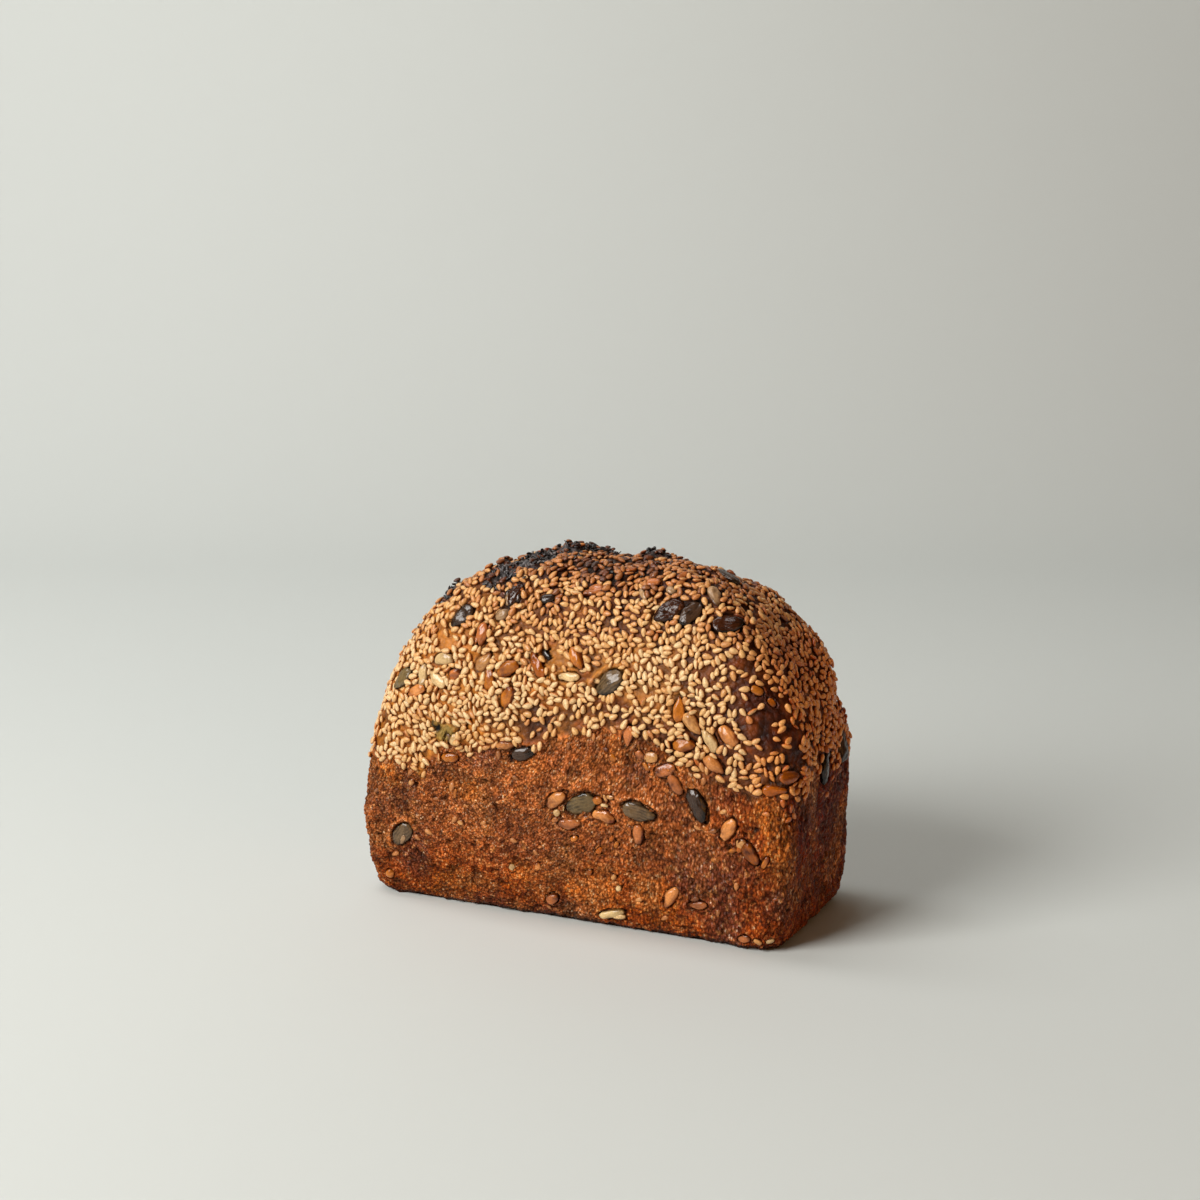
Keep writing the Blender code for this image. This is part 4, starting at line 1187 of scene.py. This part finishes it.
def build_sesame(points, faces, taken, draws):
    """The sesame in three kinds, by how dark it is baked, with the seeds that are sunk in the wall."""
    body, triangles, rim = seed_body(7, SESAME_ROWS, teardrop, 0.85)
    places, normals, along, sizes = scatter_sesame(points, faces, taken, draws)
    count = len(places)
    along = along * draws.choice((-1, 1), count)[:, None]
    leaning = np.where(draws.random(count) < 0.25, 0.6, 0.18)
    rolls = draws.normal(0, 1, count) * leaning
    bases = tipped(tangent_basis(normals, along), rolls, draws.normal(0, 0.17, count))
    lift = sizes[:, 2] * 0.38 + draws.uniform(0, 0.0005, count)
    tone = 0.12 + toasting(places) + draws.normal(0, 0.12, count)
    tone = np.maximum(tone, 0.8 * near_spots(places, BURNT_SPOTS) * draws.uniform(0.3, 1.0, count))
    tone = np.maximum(tone, near_spots(places, CHAR_SPOTS) * draws.uniform(0.5, 1.1, count))

    sunk = sunk_seeds(points, faces, taken, draws)
    centres = np.concatenate([places + normals * lift[:, None], sunk[0]])
    bases = np.concatenate([bases, sunk[1]])
    sizes = np.concatenate([sizes, sunk[2]])
    tone = np.concatenate([tone, np.clip(draws.normal(*SUNK_BROWNING, len(sunk[0])), 0.36, 0.8)])
    kinds = (
        ("pale_sesame", tone < GOLDEN_FROM),
        ("golden_sesame", (tone >= GOLDEN_FROM) & (tone < TOASTED_FROM)),
        ("toasted_sesame", tone >= TOASTED_FROM),
    )
    made = []
    for name, chosen in kinds:
        shades = sesame_colours(centres[chosen], tone[chosen], rim, draws).reshape(-1, 3)
        laid = lay_seeds(body, centres[chosen], bases[chosen], sizes[chosen]).reshape(-1, 3)
        made.append(seeds_object(name, [(laid, triangles, shades)]))
    return made


# The small grains of the baked surfaces with their painted shade and highlights, and the painted glints on
# the wall's
GRAINS_PER_CELL = 0.8
GRAIN_DETAIL = 5
GRAIN_ROUGHNESS = 0.7
RISE_SHADED = (-0.24, 0.26)  # from the painted shade in the gaps between grains to the painted highlight on their tops
RISE_HIGHLIGHTED = (0.04, 0.32)
TOP_HIGHLIGHT_SHARE = 0.50
TOP_HIGHLIGHT_GAIN = (1.3, 2.0, 4.5)  # the painted highlight's red, green and blue on a grain's top, beside the crust's round it
GLINT_GAIN = (1.9, 4.4, 13.0)
GLINTS_PER_SPAN = 1.2
GLINT_CHOICE = (0.76, 0.80)
GLINT_EDGE = (0.55, 0.25)


def add_node(tree, kind, operation=None, ordered=(), **named):
    """A new node whose inputs are given in order or by name, with _ for a space.

    An input takes a plain value or the output of another node.
    """
    node = tree.nodes.new("ShaderNode" + kind)
    if operation:
        node.operation = operation
    given = list(enumerate(ordered)) + [(name.replace("_", " "), value) for name, value in named.items()]
    for key, value in given:
        if isinstance(value, bpy.types.NodeSocket):
            tree.links.new(value, node.inputs[key])
        else:
            node.inputs[key].default_value = value
    return node


def ranged(tree, value, taken, given):
    """The output of a node that maps one range of a value to another."""
    limits = {"From_Min": taken[0], "From_Max": taken[1], "To_Min": given[0], "To_Max": given[1]}
    return add_node(tree, "MapRange", Value=value, **limits).outputs["Result"]


def lightened(tree, colour, tint, gain, share):
    """The output of nodes that blend a colour towards the tint times a gain, by a share."""
    gained = add_node(tree, "VectorMath", "MULTIPLY", (tint, gain)).outputs["Vector"]
    blend = add_node(tree, "MixRGB", Fac=share, Color1=colour, Color2=gained)
    blend.use_clamp = True
    return blend.outputs["Color"]


def upright_places(tree, place):
    """Places whose height is the mesh's own, which draws grains out upwards at the right end."""
    apart = add_node(tree, "SeparateXYZ", Vector=place)
    tall = add_node(tree, "Attribute")
    tall.attribute_name = "tall"
    joined = add_node(tree, "CombineXYZ", X=apart.outputs["X"], Y=apart.outputs["Y"], Z=tall.outputs["Fac"])
    return joined.outputs["Vector"]


def tinted_material(name, roughness, cell_span, shades, bump, gloss, glint=0.0):
    """A baked surface: its painted colours, with painted shade between small grains and painted highlights
    on their tops, with bumps and changing gloss.

    With glints, the tops of grains get more painted highlight, some grains get painted glints, and grains
    are upright towards the right end.
    """
    material = bpy.data.materials.new(name)
    material.use_nodes = True
    tree = material.node_tree
    surface = tree.nodes["Principled BSDF"]
    surface.inputs["Specular IOR Level"].default_value = gloss
    painted = add_node(tree, "VertexColor")
    painted.layer_name = "tint"
    tint = painted.outputs["Color"]
    place = add_node(tree, "NewGeometry").outputs["Position"]
    if glint > 0:
        place = upright_places(tree, place)
    noised = {"Scale": GRAINS_PER_CELL / cell_span, "Detail": GRAIN_DETAIL, "Roughness": GRAIN_ROUGHNESS}
    grain = add_node(tree, "TexNoise", Vector=place, **noised).outputs["Fac"]
    cells = add_node(tree, "TexVoronoi", Vector=place, Scale=1 / cell_span).outputs["Distance"]
    rise = add_node(tree, "Math", "SUBTRACT", (grain, cells)).outputs["Value"]
    # Painted shade in the gaps between grains and painted highlight on their tops
    shade = ranged(tree, rise, RISE_SHADED, shades)
    colour = add_node(tree, "VectorMath", "SCALE", (tint,), Scale=shade).outputs["Vector"]
    if glint > 0:
        # Painted highlight: the tops of grains blend towards a paler tint
        paler = ranged(tree, rise, RISE_HIGHLIGHTED, (0.0, TOP_HIGHLIGHT_SHARE))
        colour = lightened(tree, colour, tint, TOP_HIGHLIGHT_GAIN, paler)
        sparks = add_node(tree, "TexVoronoi", Vector=place, Scale=GLINTS_PER_SPAN / cell_span)
        channels = add_node(tree, "SeparateColor", Color=sparks.outputs["Color"])
        chosen = ranged(tree, channels.outputs["Red"], GLINT_CHOICE, (0.0, glint))
        dot = ranged(tree, sparks.outputs["Distance"], GLINT_EDGE, (0.0, 1.0))
        both = add_node(tree, "Math", "MULTIPLY", (chosen, dot)).outputs["Value"]
        colour = lightened(tree, colour, tint, GLINT_GAIN, both)
    tree.links.new(colour, surface.inputs["Base Color"])
    tree.links.new(ranged(tree, grain, (0.35, 0.65), roughness), surface.inputs["Roughness"])
    bumps = add_node(tree, "Bump", Strength=1.0, Distance=bump, Height=rise)
    tree.links.new(bumps.outputs["Normal"], surface.inputs["Normal"])
    return material


def plain_material(name, colour, roughness):
    material = bpy.data.materials.new(name)
    material.use_nodes = True
    surface = material.node_tree.nodes["Principled BSDF"]
    surface.inputs["Base Color"].default_value = (*colour, 1)
    surface.inputs["Roughness"].default_value = roughness
    return material


# The stage: a floor that sweeps up into a backdrop
FLOOR_REACH = 3.0
BACKDROP_PLACE = 1.3
BACKDROP_HEIGHT = 2.6
SWEEP_RADIUS = 0.6
SWEEP_STEPS = 16
STAGE_COLOUR = srgb(0.82, 0.84, 0.83)
STAGE_ROUGHNESS = 0.9

# Lights: place, size, watts and colour. The wash hangs over the floor and faces the backdrop.
LOAF_MIDDLE = (0, 0, 0.05)
WINDOW = ((-0.68, -1.30, 0.95), (0.9, 0.9), 34.5, (1.0, 0.975, 0.94))
FILL = ((1.3, -0.7, 0.25), (1.0, 0.5), 2.8, (1.0, 0.42, 0.09))
WASH_PLACE = (0.30, -0.7, 1.5)  # away from the camera, to its right and up
WASH_TARGET = (BACKDROP_PLACE, -0.2, 0.15)
WASH = ((1.6, 0.5), 11, (1.0, 1.0, 1.0))
SURROUND_COLOUR = (1.0, 0.68, 0.40, 1)
SURROUND_STRENGTH = 0.07


def seen_from_camera(away, right, up):
    """A place given level and away from the camera, to its right, and up from the floor."""
    side, _, _ = camera_axes()
    level = np.array((-side[1], side[0], 0.0))
    return level * away + side * right + np.array((0, 0, up))


def build_stage():
    """A pale floor that sweeps up into a backdrop behind the loaf, square to the camera."""
    profile = [(-FLOOR_REACH, 0.0), (BACKDROP_PLACE - SWEEP_RADIUS, 0.0)]
    for step in range(1, SWEEP_STEPS + 1):
        angle = math.pi / 2 * step / SWEEP_STEPS
        away = BACKDROP_PLACE - SWEEP_RADIUS + SWEEP_RADIUS * math.sin(angle)
        profile.append((away, SWEEP_RADIUS * (1 - math.cos(angle))))
    profile.append((BACKDROP_PLACE, BACKDROP_HEIGHT))
    sides = (-FLOOR_REACH, FLOOR_REACH)
    points = [seen_from_camera(away, side, height) for away, height in profile for side in sides]
    faces = [(2 * k, 2 * k + 1, 2 * k + 3, 2 * k + 2) for k in range(len(profile) - 1)]
    mesh = bpy.data.meshes.new("backdrop")
    mesh.from_pydata([tuple(p) for p in points], [], faces)
    mesh.shade_smooth()
    backdrop = bpy.data.objects.new("backdrop", mesh)
    bpy.context.scene.collection.objects.link(backdrop)
    mesh.materials.append(plain_material("pale_ground", STAGE_COLOUR, STAGE_ROUGHNESS))


def add_light(name, place, target, size, power, colour):
    light = bpy.data.lights.new(name, "AREA")
    light.shape = "RECTANGLE"
    light.size, light.size_y = size
    light.energy = power
    light.color = colour
    lamp = bpy.data.objects.new(name, light)
    lamp.location = place
    lamp.rotation_euler = (Vector(target) - Vector(place)).to_track_quat("-Z", "Y").to_euler()
    bpy.context.scene.collection.objects.link(lamp)


def build_lights():
    """A broad soft window light from the camera's left, a weak warm fill, and a wash over the backdrop."""
    add_light("window", WINDOW[0], LOAF_MIDDLE, *WINDOW[1:])
    add_light("fill", FILL[0], LOAF_MIDDLE, *FILL[1:])
    add_light("wash", seen_from_camera(*WASH_PLACE), seen_from_camera(*WASH_TARGET), *WASH)
    world = bpy.data.worlds.new("surround")
    world.use_nodes = True
    surround = world.node_tree.nodes["Background"]
    surround.inputs["Color"].default_value = SURROUND_COLOUR
    surround.inputs["Strength"].default_value = SURROUND_STRENGTH
    bpy.context.scene.world = world


def build_camera():
    data = bpy.data.cameras.new("camera")
    data.sensor_width = SENSOR_WIDTH
    data.lens = SENSOR_WIDTH * PHOTO_FOCAL / PHOTO_SIZE
    camera = bpy.data.objects.new("camera", data)
    camera.location = CAMERA_PLACE
    camera.rotation_euler = (math.pi / 2 - CAMERA_DIP, 0, CAMERA_TURN)
    bpy.context.scene.collection.objects.link(camera)
    bpy.context.scene.camera = camera


# Baked surfaces: roughness, size of cells, painted shades from the gaps to the tops of grains, bump and
# gloss
CRUST_LOOKS = ((0.28, 0.60), 0.0010, (0.40, 1.22), 0.0011, 0.12)
CRUST_GLINT = 0.5
SKIN_LOOKS = ((0.26, 0.52), 0.0019, (0.76, 1.12), 0.0005, 0.2)
SESAME_LOOKS = ((0.24, 0.44), 0.0008, (0.86, 1.12), 0.00008, 0.42)
KERNEL_LOOKS = ((0.12, 0.28), 0.0008, (0.88, 1.10), 0.00004, 0.42)


def main():
    draws = np.random.default_rng(RANDOM_SEED)
    kernels, placed = build_kernels(draws)
    crusts, points, faces = build_crust(placed, draws)
    sesame = build_sesame(points, faces, discs_of(*placed), draws)
    flakes = char_flakes(points, faces, draws)

    crust = tinted_material("baked_crust", *CRUST_LOOKS, CRUST_GLINT)
    skin = tinted_material("seeded_skin", *SKIN_LOOKS)
    seed = tinted_material("sesame_hull", *SESAME_LOOKS)
    kernel = tinted_material("kernel_skin", *KERNEL_LOOKS)
    for piece, material in zip(crusts, (crust, skin)):
        piece.data.materials.append(material)
    for piece in sesame:
        piece.data.materials.append(seed)
    for piece in (*kernels, flakes):
        piece.data.materials.append(kernel)
    for piece in (*crusts, *sesame, *kernels, flakes):
        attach(piece, "root")
    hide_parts("tin_loaf")

    build_stage()
    build_lights()
    build_camera()
    bpy.context.scene.view_settings.view_transform = "Standard"


main()
